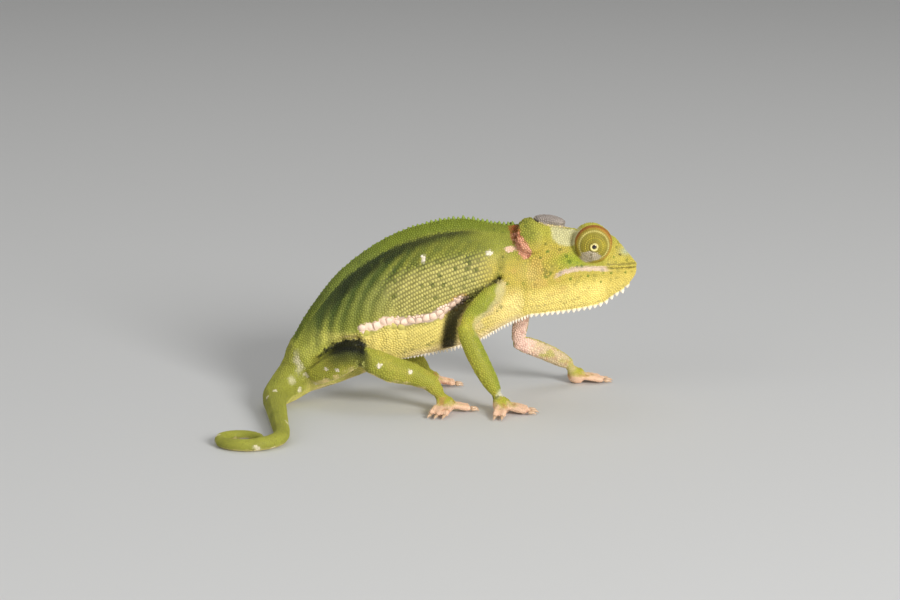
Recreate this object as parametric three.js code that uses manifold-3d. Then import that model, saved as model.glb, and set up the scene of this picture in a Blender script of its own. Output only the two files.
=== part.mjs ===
// A young flap-necked chameleon standing on the floor, life size, in millimetres.
// The head points to +X, the right side faces -Y and +Z is up. All lengths below are millimetres.
import * as THREE from 'three';
import { mergeVertices } from 'three/addons/utils/BufferGeometryUtils.js';
import Module from 'manifold-3d';

const wasm = await Module();
wasm.setup();

// Clearances and fineness
const GAP = 0.3;
const WELD = 0.001;
const SINK = 0.12;
const CRUMB = 1;
const SPACE = 300;
const RIGHT = -1;
const LEFT = 1;
const ALONG_X = new THREE.Vector3(1, 0, 0);
const ALONG_Y = new THREE.Vector3(0, 1, 0);
const UP = new THREE.Vector3(0, 0, 1);
const LINE_FINENESS = 400;
const BODY_SPOKES = 18;
const TAIL_SPOKES = 10;
const LIMB_SPOKES = 10;
const TOE_SPOKES = 6;

// Trunk: centre, half height and half width of each station, from the nape to the tail root
const NAPE_X = 24.85;
const TRUNK = [
  { x: NAPE_X, z: 26.6, tall: 9.1, wide: 4.7 },
  { x: 20.4, z: 26.0, tall: 10.1, wide: 5.2 },
  { x: 13.3, z: 24.8, tall: 12.4, wide: 5.9 },
  { x: 4.3, z: 22.4, tall: 12.7, wide: 6.2 },
  { x: -3.9, z: 18.8, tall: 11.4, wide: 6.0 },
  { x: -10.6, z: 13.9, tall: 9.4, wide: 5.3 },
  { x: -16.2, z: 9.2, tall: 7.0, wide: 4.6 },
  { x: -20.5, z: 5.4, tall: 4.7, wide: 3.8 },
];
const CREST_PINCH = 0.34;
const KEEL_PINCH = 0.2;
const LOW_SHARE = 0.1;
const HEAD_ROLL = -0.14;
const ROLL_PIVOT_Z = 27;
const ROLL_FADE = 10;

// Tail: laid on the floor, swung out to the right side and ending in a loose curl
const TAIL_START = new THREE.Vector3(-22.9, -2.4, 0);
const TAIL_HEADING = 4.12;
const TAIL_LENGTH = 72;
const TAIL_STEP = 3;
const TAIL_FINE = 8;
const TAIL_TIP_RADIUS = 0.45;
const TAIL_TAPER = 2.0;
const TAIL_ROOT_SWELL = 1.15;
const TAIL_ROOT_FADE = 5;
const TAIL_SWING = 0.7;
const TAIL_SWING_END = 8;
const TAIL_CURL_START = 30;
const TAIL_CURL_RADIUS = 7.2;
const TAIL_CURL_TIGHTEN = 0.125;

// Where the body is parted, measured along its middle line from the nape
const BODY_PARTS = [
  { name: 'neck', end: 5.0 },
  { name: 'chest', end: 14.5 },
  { name: 'trunk_front', end: 24.5 },
  { name: 'trunk_rear', end: 35.0 },
  { name: 'pelvis', end: 47.0 },
  { name: 'tail_1', end: 59.0 },
  { name: 'tail_2', end: 73.0 },
  { name: 'tail_3', end: 88.0 },
  { name: 'tail_4', end: 104.0 },
  { name: 'tail_5', end: Infinity },
];
const NAPE_REACH = 2;
const TRUNK_REACH = 58;
const TRUNK_RINGS = 24;
const BODY_RING = 2.8;
const TAIL_RING = 2.0;
const CURL_RING = 1.5;

// Head: height of the crown, mouth line and chin, and half width at the cheek and brow
const HEAD = [
  { x: NAPE_X + GAP, crown: 35.5, mouth: 24.6, chin: 17.9, cheek: 4.9, brow: 2.2 },
  { x: 27.6, crown: 36.3, mouth: 25.1, chin: 18.3, cheek: 5.6, brow: 3.0 },
  { x: 30.6, crown: 36.1, mouth: 26.0, chin: 18.7, cheek: 5.9, brow: 3.8 },
  { x: 34.0, crown: 35.2, mouth: 27.2, chin: 19.1, cheek: 5.8, brow: 3.9 },
  { x: 38.0, crown: 35.4, mouth: 27.4, chin: 19.8, cheek: 5.2, brow: 3.9 },
  { x: 41.2, crown: 34.9, mouth: 27.3, chin: 20.8, cheek: 4.5, brow: 3.4 },
  { x: 44.0, crown: 32.2, mouth: 27.3, chin: 22.4, cheek: 3.5, brow: 2.5 },
  { x: 46.2, crown: 29.5, mouth: 27.3, chin: 24.2, cheek: 2.4, brow: 1.5 },
  { x: 47.3, crown: 28.2, mouth: 27.4, chin: 25.8, cheek: 1.3, brow: 0.8 },
];
const HEAD_RINGS = 12;
const HEAD_SPOKES = 18;
const HEAD_STEP = 0.5;
const HEAD_CROWDING = 1.35;
const SKULL_SQUARE = 0.72;
const THROAT_PINCH = 0.34;
const MOUTH_REACH = 1.5;
const MOUTH_STEPS = 10;
const HEAD_BREADTH = 30;

// Casque roof plate, occipital lobes, eye turrets and eyes
const ROOF = { x: 29.8, y: 0, z: 36.6, long: 3.4, thick: 2.7, tall: 1.25, tilt: 0.14, spokes: 16, rings: 7 };
const LOBE = {
  x: 26.2, y: 4.4, z: 33.5, long: 3.1, thick: 1.05, tall: 4.1, tilt: -0.2, lean: 0.34, spokes: 14, rings: 8,
};
const TURRET = { x: 38.35, y: 4.2, z: 32.3, radius: 3.9, reach: 3.9, root: 1.9, point: 1.75, droop: 0.18 };
const TURRET_SPOKES = 12;
const TURRET_RINGS = 8;
const EYE = { radius: 1.3, inset: 0.12, spokes: 9, rings: 6 };

// Hollows under the flank that take the upper arms and the thighs
const ARMPIT = {
  x: 16.6, y: 6.9, z: 18.4, long: 8.6, thick: 2.6, tall: 5.4, tilt: -0.6, spokes: 11, rings: 7,
};
const GROIN = {
  x: -11.5, y: 6.2, z: 7.6, long: 8.5, thick: 2.4, tall: 4.6, tilt: -0.42, spokes: 11, rings: 7,
};

// Crest cones
const DORSAL_CONE = { pitch: 2.0, radius: 0.8, height: 0.85, rearHeight: 0.45 };
const GULAR_CONE = { pitch: 1.6, radius: 0.75, height: 1.0 };
const VENTRAL_CONE = { pitch: 1.7, radius: 0.65, height: 0.7 };
const CONE_SIDES = 4;
const CONE_ROOT = 0.45;
const GULAR_FRONT = 46.4;
const VENTRAL_END = 27;

// Limbs: joints from the body outward with half heights and half widths
const LIMBS = {
  right_front: {
    upper: [
      { at: [21.0, -2.8, 25.4], up: 2.0, wide: 1.9 },
      { at: [17.0, -6.3, 21.9], up: 2.1, wide: 1.9 },
      { at: [12.6, -8.2, 16.9], up: 2.0, wide: 1.8 },
    ],
    lower: [
      { at: [12.3, -8.3, 17.9], up: 2.1, wide: 1.8 },
      { at: [15.6, -9.0, 10.6], up: 2.1, wide: 1.9 },
      { at: [19.5, -10.2, 3.4], up: 1.8, wide: 1.8 },
    ],
    names: ['right_upper_arm', 'right_forearm'],
    palm: [20.3, -10.7, 1.62],
    inner: { digits: 3, heading: -0.08, length: 5.9 },
    outer: { digits: 2, heading: -1.72, length: 5.7 },
  },
  left_front: {
    upper: [
      { at: [21.0, 2.8, 24.6], up: 2.0, wide: 1.9 },
      { at: [24.4, 6.2, 17.2], up: 1.8, wide: 1.8 },
      { at: [23.6, 8.2, 9.8], up: 1.9, wide: 1.8 },
    ],
    lower: [
      { at: [22.8, 8.0, 10.4], up: 2.0, wide: 1.8 },
      { at: [29.2, 10.8, 7.6], up: 1.9, wide: 1.8 },
      { at: [35.4, 14.0, 3.8], up: 1.7, wide: 1.8 },
    ],
    names: ['left_upper_arm', 'left_forearm'],
    palm: [36.2, 14.4, 1.62],
    inner: { digits: 3, heading: 0.12, length: 6.2 },
    outer: { digits: 2, heading: 1.45, length: 5.7 },
  },
  right_hind: {
    upper: [
      { at: [-18.4, -2.0, 5.7], up: 3.4, wide: 2.4 },
      { at: [-13.0, -6.4, 9.2], up: 3.3, wide: 2.4 },
      { at: [-7.0, -9.2, 12.0], up: 2.7, wide: 2.2 },
    ],
    lower: [
      { at: [-8.4, -9.2, 11.9], up: 2.9, wide: 2.1 },
      { at: [-1.6, -9.5, 8.6], up: 2.8, wide: 2.2 },
      { at: [4.8, -9.7, 7.0], up: 2.2, wide: 2.0 },
      { at: [8.6, -9.8, 3.0], up: 1.7, wide: 1.8 },
    ],
    names: ['right_thigh', 'right_shin'],
    palm: [9.2, -9.9, 1.62],
    inner: { digits: 2, heading: 0.1, length: 5.4 },
    outer: { digits: 3, heading: -1.9, length: 5.7 },
  },
  left_hind: {
    upper: [
      { at: [-18.4, 2.0, 5.7], up: 3.4, wide: 2.4 },
      { at: [-13.6, 6.6, 9.0], up: 3.3, wide: 2.4 },
      { at: [-8.6, 9.6, 11.4], up: 2.7, wide: 2.2 },
    ],
    lower: [
      { at: [-9.8, 9.6, 11.8], up: 2.9, wide: 2.1 },
      { at: [-3.4, 10.2, 8.9], up: 2.8, wide: 2.2 },
      { at: [2.2, 10.9, 6.4], up: 2.1, wide: 2.0 },
      { at: [5.6, 11.2, 3.0], up: 1.7, wide: 1.8 },
    ],
    names: ['left_thigh', 'left_shin'],
    palm: [6.2, 11.3, 1.62],
    inner: { digits: 2, heading: 0.0, length: 5.4 },
    outer: { digits: 3, heading: 1.9, length: 5.7 },
  },
};
const LIMB_BLUNT = 3.2;
const LIMB_RINGS = 7;
const PALM = { radius: 2.1, tall: 1.85, spokes: 9, rings: 6 };
const TOE = {
  radius: 0.78, spacing: 1.2, fan: 0.05, arch: 0.5, rise: 1.7, shorter: 0.07, blunt: 3.5, rings: 4,
};
const MITT = { share: 0.62, thick: 0.72, blunt: 3, spokes: 6, rings: 4 };
const CLAW = { length: 1.2, radius: 0.42, sides: 6, droop: 0.28 };

// Colours of the skin regions
const GREEN = 0x8fa43c;
const DARK_GREEN = 0x6f8a35;
const YELLOW = 0xd9cf77;
const PALE = 0xe2cdb4;
const EYE_COLOUR = 0x2b2012;
const CLAW_COLOUR = 0xc9b49a;
const SKIN_ROUGHNESS = 0.6;
const EYE_ROUGHNESS = 0.15;
const CLAW_ROUGHNESS = 0.4;

const animal = new THREE.Group();

// The head is rolled a little on the neck, its right side up.
const headGroup = new THREE.Group();
headGroup.position.z = ROLL_PIVOT_Z;
headGroup.rotation.x = HEAD_ROLL;
animal.add(headGroup);

// A closed indexed geometry with nothing but positions.
function welded(geometry) {
  const bare = geometry.clone();
  bare.deleteAttribute('normal');
  bare.deleteAttribute('uv');
  return mergeVertices(bare, WELD);
}

function solid(geometry) {
  const bare = welded(geometry);
  const mesh = new wasm.Mesh({
    numProp: 3,
    vertProperties: new Float32Array(bare.attributes.position.array),
    triVerts: new Uint32Array(bare.index.array),
  });
  return new wasm.Manifold(mesh);
}

function geometryOf(body) {
  const mesh = body.getMesh();
  const geometry = new THREE.BufferGeometry();
  const positions = new Float32Array(mesh.vertProperties.length / mesh.numProp * 3);
  for (let i = 0; i < positions.length / 3; i += 1) {
    positions[3 * i] = mesh.vertProperties[mesh.numProp * i];
    positions[3 * i + 1] = mesh.vertProperties[mesh.numProp * i + 1];
    positions[3 * i + 2] = mesh.vertProperties[mesh.numProp * i + 2];
  }
  geometry.setAttribute('position', new THREE.BufferAttribute(positions, 3));
  geometry.setIndex(new THREE.BufferAttribute(new Uint32Array(mesh.triVerts), 1));
  return geometry;
}

// Puts a solid into the animal, or into the rolled head, as a mesh with a material of its own.
function add(name, body, colour, roughness = SKIN_ROUGHNESS, onHead = false) {
  const geometry = geometryOf(body).toNonIndexed();
  geometry.computeVertexNormals();
  const material = new THREE.MeshStandardMaterial({ color: colour, roughness, metalness: 0 });
  const mesh = new THREE.Mesh(geometry, material);
  mesh.name = name;
  if (onHead) mesh.position.z = -ROLL_PIVOT_Z;
  (onHead ? headGroup : animal).add(mesh);
  return mesh;
}

// The biggest closed piece of a solid, without the crumbs a cut can leave.
function largest(body) {
  const pieces = body.decompose();
  const volumes = pieces.map((piece) => piece.volume());
  return pieces[volumes.indexOf(Math.max(...volumes))];
}

// Moves every vertex of a geometry through a function of its place.
function reshaped(geometry, move) {
  const shape = geometry.clone();
  const position = shape.attributes.position;
  for (let i = 0; i < position.count; i += 1) {
    const moved = move(position.getX(i), position.getY(i), position.getZ(i));
    position.setXYZ(i, moved.x, moved.y, moved.z);
  }
  return shape;
}

// A middle line with a cross-section at every station.
function strand(stations, crest = UP) {
  const at = stations.map((station) => station.at);
  const reach = stations.map((station) => new THREE.Vector3(station.up, station.down, station.wide));
  const line = new THREE.CatmullRomCurve3(at, false, 'catmullrom');
  const sizes = new THREE.CatmullRomCurve3(reach, false, 'catmullrom');
  line.arcLengthDivisions = LINE_FINENESS;
  return { line, sizes, crest, length: line.getLength() };
}

// A point of the strand's skin: across and over run from -1 to 1, spare stands off the skin.
function pointOn(cord, along, across, over, spare = 0) {
  const share = cord.line.getUtoTmapping(THREE.MathUtils.clamp(along, 0, 1));
  const tangent = cord.line.getTangent(share);
  const side = new THREE.Vector3().crossVectors(tangent, cord.crest).normalize();
  const top = new THREE.Vector3().crossVectors(side, tangent);
  const roll = cord.roll ? cord.roll(along * cord.length) : 0;
  const reach = cord.sizes.getPoint(share);
  const high = (over > 0 ? reach.x : reach.y) + spare;
  const past = (along - THREE.MathUtils.clamp(along, 0, 1)) * cord.length;
  return cord.line.getPoint(share)
    .addScaledVector(tangent, past)
    .addScaledVector(side, across * (reach.z + spare) * Math.cos(roll) - over * high * Math.sin(roll))
    .addScaledVector(top, across * (reach.z + spare) * Math.sin(roll) + over * high * Math.cos(roll));
}

// A flat-ended length of a strand between two places along it.
function lengthOf(cord, from, to, spokes, rings, spare = 0, pinch = [0, 0]) {
  const unit = new THREE.CylinderGeometry(1, 1, 1, spokes, rings);
  return solid(reshaped(unit, (x, y, z) => {
    const along = THREE.MathUtils.lerp(from, to, y + 0.5);
    const narrow = 1 - (z > 0 ? pinch[0] : pinch[1]) * z * z;
    return pointOn(cord, along, x * narrow, z, spare);
  }));
}

// A whole strand with blunt rounded ends.
function bluntOf(cord, spokes, rings, blunt, spare = 0) {
  const unit = new THREE.SphereGeometry(1, spokes, rings);
  return solid(reshaped(unit, (x, y, z) => {
    const round = Math.hypot(x, z);
    const fill = round > WELD ? (1 - Math.min(1, Math.abs(y)) ** blunt) ** (1 / blunt) / round : 0;
    const end = spare / cord.length;
    const along = THREE.MathUtils.lerp(-end, 1 + end, (y + 1) / 2);
    return pointOn(cord, along, x * fill, z * fill, spare);
  }));
}

// A ball stretched and tilted as its sizes say, on one side of the animal.
function ellipsoid(spec, side, spare = 0) {
  const ball = new THREE.SphereGeometry(1, spec.spokes, spec.rings);
  ball.scale(spec.long + spare, spec.thick + spare, spec.tall + spare);
  ball.rotateX(side * (spec.lean ?? 0));
  ball.rotateY(spec.tilt);
  ball.translate(spec.x, side * spec.y, spec.z);
  return solid(ball);
}

// Blocks that keep only what is above the floor and behind the nape's parting plane.
const room = new THREE.BoxGeometry(SPACE, SPACE, SPACE);
room.translate(0, 0, SPACE / 2);
const aboveGround = solid(room);
const behindNape = solid(room.clone().translate(NAPE_X - SPACE / 2, 0, 0));

function aboveFloor(body) {
  return body.intersect(aboveGround);
}

// ---- Body and tail ----
function tailRadius(s) {
  const swell = TAIL_ROOT_SWELL * Math.exp(-s / TAIL_ROOT_FADE);
  return TAIL_TIP_RADIUS + TAIL_TAPER * (1 - s / TAIL_LENGTH) + swell;
}

// Sideways turn of the tail per millimetre, first out to the right and then round into the curl.
function tailTurn(s) {
  if (s < TAIL_SWING_END) return TAIL_SWING / TAIL_SWING_END;
  if (s < TAIL_CURL_START) return 0;
  const radius = TAIL_CURL_RADIUS - TAIL_CURL_TIGHTEN * (s - TAIL_CURL_START);
  return -1 / radius;
}

const bodyStations = TRUNK.map((station) => ({
  at: new THREE.Vector3(station.x, 0, station.z - LOW_SHARE * station.tall),
  up: station.tall * (1 + LOW_SHARE),
  down: station.tall * (1 - LOW_SHARE),
  wide: station.wide,
}));
const tailPoint = TAIL_START.clone();
let tailHeading = TAIL_HEADING;
for (let s = 0; s <= TAIL_LENGTH; s += TAIL_STEP) {
  const radius = tailRadius(s);
  const at = new THREE.Vector3(tailPoint.x, tailPoint.y, radius - SINK);
  bodyStations.push({ at, up: radius, down: radius, wide: radius });
  for (let i = 0; i < TAIL_FINE; i += 1) {
    tailHeading += tailTurn(s + TAIL_STEP * i / TAIL_FINE) * TAIL_STEP / TAIL_FINE;
    tailPoint.x += Math.cos(tailHeading) * TAIL_STEP / TAIL_FINE;
    tailPoint.y += Math.sin(tailHeading) * TAIL_STEP / TAIL_FINE;
  }
}
const body = strand(bodyStations);
body.roll = (s) => HEAD_ROLL * Math.max(0, 1 - Math.max(0, s) / ROLL_FADE) ** 2;
const bodyPinch = [CREST_PINCH, KEEL_PINCH];
const hollows = [ARMPIT, GROIN].flatMap((spec) => [RIGHT, LEFT].map((side) => ({ spec, side })));

// The trunk from the nape to the tail root, stood off by the gap, to trim what meets it.
const cutterEnds = [-NAPE_REACH / body.length, TRUNK_REACH / body.length];
let trunkCutter = lengthOf(body, ...cutterEnds, BODY_SPOKES, TRUNK_RINGS, GAP, bodyPinch);
for (const { spec, side } of hollows) trunkCutter = trunkCutter.subtract(ellipsoid(spec, side, -GAP));

// A small cone that stands on the skin and leans along the way out of it.
function cone(root, out, radius, height) {
  const shape = new THREE.ConeGeometry(radius, height + CONE_ROOT, CONE_SIDES);
  shape.translate(0, (height - CONE_ROOT) / 2, 0);
  shape.applyQuaternion(new THREE.Quaternion().setFromUnitVectors(ALONG_Y, out));
  shape.translate(root.x, root.y, root.z);
  return solid(shape);
}

// Cones along the top (over = 1) or the keel (over = -1) of the body between two places, in millimetres.
function bodyCones(from, to, over, spec) {
  const count = Math.max(1, Math.round((to - from) / spec.pitch));
  const cones = [];
  for (let i = 0; i < count; i += 1) {
    const along = (from + (to - from) * (i + 0.5) / count) / body.length;
    const root = pointOn(body, along, 0, over);
    const out = root.clone().sub(pointOn(body, along, 0, 0)).normalize();
    const fade = Math.min(1, along * body.length / BODY_PARTS[4].end);
    const height = THREE.MathUtils.lerp(spec.height, spec.rearHeight ?? spec.height, fade);
    cones.push(cone(root, out, spec.radius, height));
  }
  return cones;
}

let bodyStart = 0;
for (const [index, part] of BODY_PARTS.entries()) {
  const last = index === BODY_PARTS.length - 1;
  const end = last ? body.length : part.end;
  const stop = last ? end : end - GAP;
  const isTail = part.name.startsWith('tail');
  const spacing = last ? CURL_RING : isTail ? TAIL_RING : BODY_RING;
  const rings = Math.max(2, Math.round((stop - bodyStart) / spacing));
  const pinch = isTail ? [0, 0] : bodyPinch;
  const spokes = isTail ? TAIL_SPOKES : BODY_SPOKES;
  const start = index === 0 ? -NAPE_REACH : bodyStart;
  let piece = lengthOf(body, start / body.length, stop / body.length, spokes, rings, 0, pinch);
  if (!isTail) {
    for (const { spec, side } of hollows) piece = piece.subtract(ellipsoid(spec, side));
    const crest = bodyCones(bodyStart, stop, 1, DORSAL_CONE);
    const keel = end <= VENTRAL_END ? bodyCones(bodyStart, stop, -1, VENTRAL_CONE) : [];
    for (const tooth of [...crest, ...keel]) piece = piece.add(tooth);
  }
  add(part.name, largest(aboveFloor(piece).intersect(behindNape)), isTail ? DARK_GREEN : GREEN);
  bodyStart = end;
}

// ---- Head ----
const headStations = HEAD.map((row) => row.x);
const headRows = HEAD.map((row) => [row.crown, row.mouth, row.chin, row.cheek, row.brow]);
const headProfile = new THREE.CubicInterpolant(headStations, headRows.flat(), headRows[0].length);
const SNOUT_X = headStations[headStations.length - 1];

function headAt(x) {
  const row = headProfile.evaluate(THREE.MathUtils.clamp(x, headStations[0], SNOUT_X));
  return { crown: row[0], mouth: row[1], chin: row[2], cheek: row[3], brow: row[4] };
}

function headPoint(x, across, over, spare) {
  const row = headAt(x);
  const boxed = Math.sign(across) * Math.abs(across) ** SKULL_SQUARE;
  const wide = over > 0 ? THREE.MathUtils.lerp(row.cheek, row.brow, over) : row.cheek;
  const narrow = over > 0 ? boxed : across * (1 - THROAT_PINCH * over * over);
  const high = over > 0 ? row.crown - row.mouth : row.mouth - row.chin;
  return new THREE.Vector3(x, narrow * (wide + spare), row.mouth + over * (high + spare));
}

// The whole head with the rings crowded towards the snout.
function headSolid(spare = 0) {
  const unit = new THREE.CylinderGeometry(1, 1, 1, HEAD_SPOKES, HEAD_RINGS);
  unit.rotateZ(-Math.PI / 2);
  return solid(reshaped(unit, (x, y, z) => {
    const along = 1 - (0.5 - x) ** HEAD_CROWDING;
    const place = THREE.MathUtils.lerp(headStations[0] - spare, SNOUT_X + spare, along);
    return headPoint(place, y, z, spare);
  }));
}

// A thin sheet along the mouth line that parts the jaws.
function mouthCut() {
  const outline = new THREE.Shape();
  const start = headStations[0] - MOUTH_REACH;
  const span = SNOUT_X + MOUTH_REACH - start;
  const xs = Array.from({ length: MOUTH_STEPS + 1 }, (_, i) => start + span * i / MOUTH_STEPS);
  outline.moveTo(xs[0], headAt(xs[0]).mouth + GAP / 2);
  for (const x of xs.slice(1)) outline.lineTo(x, headAt(x).mouth + GAP / 2);
  for (const x of xs.toReversed()) outline.lineTo(x, headAt(x).mouth - GAP / 2);
  outline.closePath();
  const sheet = new THREE.ExtrudeGeometry(outline, { depth: HEAD_BREADTH, bevelEnabled: false });
  sheet.rotateX(Math.PI / 2);
  sheet.translate(0, HEAD_BREADTH / 2, 0);
  return solid(sheet);
}

// The dome of an eye turret, its axis pointing out and a little down.
function turretAxis(side) {
  return new THREE.Vector3(0, side, -TURRET.droop).normalize();
}

function turretDome(side, spare = 0) {
  const unit = new THREE.SphereGeometry(1, TURRET_SPOKES, TURRET_RINGS);
  const dome = reshaped(unit, (x, y, z) => {
    const round = Math.hypot(x, z);
    const power = y > 0 ? TURRET.point : 2;
    const fill = round > WELD ? (1 - Math.min(1, Math.abs(y)) ** power) ** (1 / power) / round : 0;
    const radius = (TURRET.radius + spare) * fill;
    const reach = (y > 0 ? TURRET.reach : TURRET.root) + spare;
    return new THREE.Vector3(x * radius, y * reach, z * radius);
  });
  dome.applyQuaternion(new THREE.Quaternion().setFromUnitVectors(ALONG_Y, turretAxis(side)));
  dome.translate(TURRET.x, side * TURRET.y, TURRET.z);
  return solid(dome);
}

function eyeCentre(side) {
  const centre = new THREE.Vector3(TURRET.x, side * TURRET.y, TURRET.z);
  return centre.addScaledVector(turretAxis(side), TURRET.reach - EYE.radius - EYE.inset);
}

function eyeBall(spare = 0) {
  return new THREE.SphereGeometry(EYE.radius + spare, EYE.spokes, EYE.rings);
}

let head = headSolid().add(ellipsoid(ROOF, RIGHT));
for (const side of [RIGHT, LEFT]) head = head.subtract(turretDome(side, GAP));
const jaws = head.subtract(mouthCut()).decompose().filter((piece) => piece.volume() > CRUMB);
jaws.sort((a, b) => b.boundingBox().max[2] - a.boundingBox().max[2]);
let [skull, jaw] = jaws;
const gularLength = GULAR_FRONT - headStations[0];
const gularCount = Math.round(gularLength / GULAR_CONE.pitch);
for (let i = 0; i < gularCount; i += 1) {
  const x = headStations[0] + gularLength * (i + 0.5) / gularCount;
  const rise = headAt(x + HEAD_STEP).chin - headAt(x - HEAD_STEP).chin;
  const out = new THREE.Vector3(rise, 0, -2 * HEAD_STEP).normalize();
  jaw = jaw.add(cone(new THREE.Vector3(x, 0, headAt(x).chin), out, GULAR_CONE.radius, GULAR_CONE.height));
}
add('head', skull, GREEN, SKIN_ROUGHNESS, true);
add('lower_jaw', jaw, YELLOW, SKIN_ROUGHNESS, true);

// The neck as the head sees it, for the lobes that lie over it.
const headCutter = headSolid(GAP);
const neckCutter = solid(reshaped(geometryOf(trunkCutter), (x, y, z) => {
  const place = new THREE.Vector3(x, y, z - ROLL_PIVOT_Z).applyAxisAngle(ALONG_X, -HEAD_ROLL);
  return place.setZ(place.z + ROLL_PIVOT_Z);
}));
for (const [name, side] of [['right', RIGHT], ['left', LEFT]]) {
  const socket = eyeBall(GAP).translate(...eyeCentre(side));
  const dome = turretDome(side).subtract(solid(socket));
  add(`${name}_eye_turret`, largest(dome), GREEN, SKIN_ROUGHNESS, true);
  const eye = add(`${name}_eye`, solid(eyeBall()), EYE_COLOUR, EYE_ROUGHNESS, true);
  eye.position.add(eyeCentre(side));
  const lobe = ellipsoid(LOBE, side).subtract(headCutter).subtract(neckCutter);
  add(`${name}_occipital_lobe`, largest(lobe), GREEN, SKIN_ROUGHNESS, true);
}

// ---- Limbs ----
function limbStrand(joints) {
  const stations = joints.map((joint) => ({
    at: new THREE.Vector3(...joint.at),
    up: joint.up,
    down: joint.up,
    wide: joint.wide,
  }));
  const first = stations[0].at;
  const last = stations[stations.length - 1].at;
  const run = last.clone().sub(first);
  const crest = new THREE.Vector3(-run.z, 0, run.x).normalize();
  return strand(stations, crest);
}

// A foot bundle: its digits side by side and the skin that joins them for more than half their length.
function bundle(foot, spec) {
  const palm = new THREE.Vector3(...foot);
  const ahead = new THREE.Vector3(Math.cos(spec.heading), Math.sin(spec.heading), 0);
  const beside = new THREE.Vector3(-ahead.y, ahead.x, 0);
  const step = (place, reach, height, size) => {
    const spread = ahead.clone().addScaledVector(beside, place * TOE.fan).normalize();
    const at = palm.clone().addScaledVector(beside, place * TOE.spacing).addScaledVector(spread, reach);
    return { at: at.setZ(height), up: size, down: size, wide: size };
  };
  const digits = [];
  for (let i = 0; i < spec.digits; i += 1) {
    const place = i - (spec.digits - 1) / 2;
    const length = spec.length * (1 - TOE.shorter * Math.abs(place));
    const knuckle = TOE.radius + TOE.arch;
    const stations = [
      step(place, 0, TOE.rise, TOE.radius),
      step(place, length / 2, knuckle, TOE.radius),
      step(place, length, TOE.radius - SINK, TOE.radius),
    ];
    const spread = ahead.clone().addScaledVector(beside, place * TOE.fan).normalize();
    digits.push({ cord: strand(stations), spread, tip: stations[2].at });
  }
  const wide = (spec.digits - 1) / 2 * TOE.spacing + TOE.radius;
  const web = [
    { ...step(0, 0, TOE.rise, MITT.thick), wide },
    { ...step(0, spec.length * MITT.share, MITT.thick + TOE.arch / 2, MITT.thick), wide },
  ];
  return { digits, web: strand(web) };
}

function fused(foot, spare = 0) {
  let whole = bluntOf(foot.web, MITT.spokes, MITT.rings, MITT.blunt, spare);
  for (const digit of foot.digits) {
    whole = whole.add(bluntOf(digit.cord, TOE_SPOKES, TOE.rings, TOE.blunt, spare));
  }
  return whole;
}

function palmBall(foot, spare = 0) {
  const ball = new THREE.SphereGeometry(1, PALM.spokes, PALM.rings);
  ball.scale(PALM.radius + spare, PALM.radius + spare, PALM.tall + spare);
  ball.translate(...foot);
  return solid(ball);
}

// A claw ahead of a digit's tip, pointing a little down.
function addClaw(name, digit) {
  const shape = new THREE.ConeGeometry(CLAW.radius, CLAW.length, CLAW.sides);
  shape.translate(0, CLAW.length / 2, 0);
  const out = digit.spread.clone().setZ(-CLAW.droop).normalize();
  const claw = add(name, solid(shape), CLAW_COLOUR, CLAW_ROUGHNESS);
  claw.quaternion.setFromUnitVectors(ALONG_Y, out);
  claw.position.copy(digit.tip).addScaledVector(out, GAP);
}

for (const [limb, spec] of Object.entries(LIMBS)) {
  const upperCord = limbStrand(spec.upper);
  const lowerCord = limbStrand(spec.lower);
  const inner = bundle(spec.palm, spec.inner);
  const outer = bundle(spec.palm, spec.outer);
  const small = palmBall(spec.palm).add(fused(inner));
  const grownPalm = palmBall(spec.palm, GAP).add(fused(inner, GAP));
  const outerBody = largest(fused(outer).subtract(grownPalm));
  let lower = bluntOf(lowerCord, LIMB_SPOKES, LIMB_RINGS, LIMB_BLUNT);
  lower = lower.subtract(grownPalm).subtract(fused(outer, GAP));
  let upper = bluntOf(upperCord, LIMB_SPOKES, LIMB_RINGS, LIMB_BLUNT);
  upper = upper.subtract(bluntOf(lowerCord, LIMB_SPOKES, LIMB_RINGS, LIMB_BLUNT, GAP));
  upper = upper.subtract(trunkCutter);
  add(spec.names[0], largest(upper), DARK_GREEN);
  add(spec.names[1], largest(lower.subtract(trunkCutter)), DARK_GREEN);
  add(`${limb}_inner_toes`, largest(aboveFloor(small)), PALE);
  add(`${limb}_outer_toes`, largest(aboveFloor(outerBody)), PALE);
  const digits = [...inner.digits, ...outer.digits];
  for (const [index, digit] of digits.entries()) {
    addClaw(`${limb}_claw_${index + 1}`, digit);
  }
}

// The origin is the middle of the footprint, on the floor.
const box = new THREE.Box3().setFromObject(animal, true);
animal.position.set(-(box.min.x + box.max.x) / 2, -(box.min.y + box.max.y) / 2, -box.min.z);
const chameleon = new THREE.Group();
chameleon.add(animal);

export default chameleon;
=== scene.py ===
import math
import random

import bmesh
import bpy
import numpy as np
from mathutils import Matrix, Vector, noise
from mathutils.bvhtree import BVHTree
from mathutils.kdtree import KDTree


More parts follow.
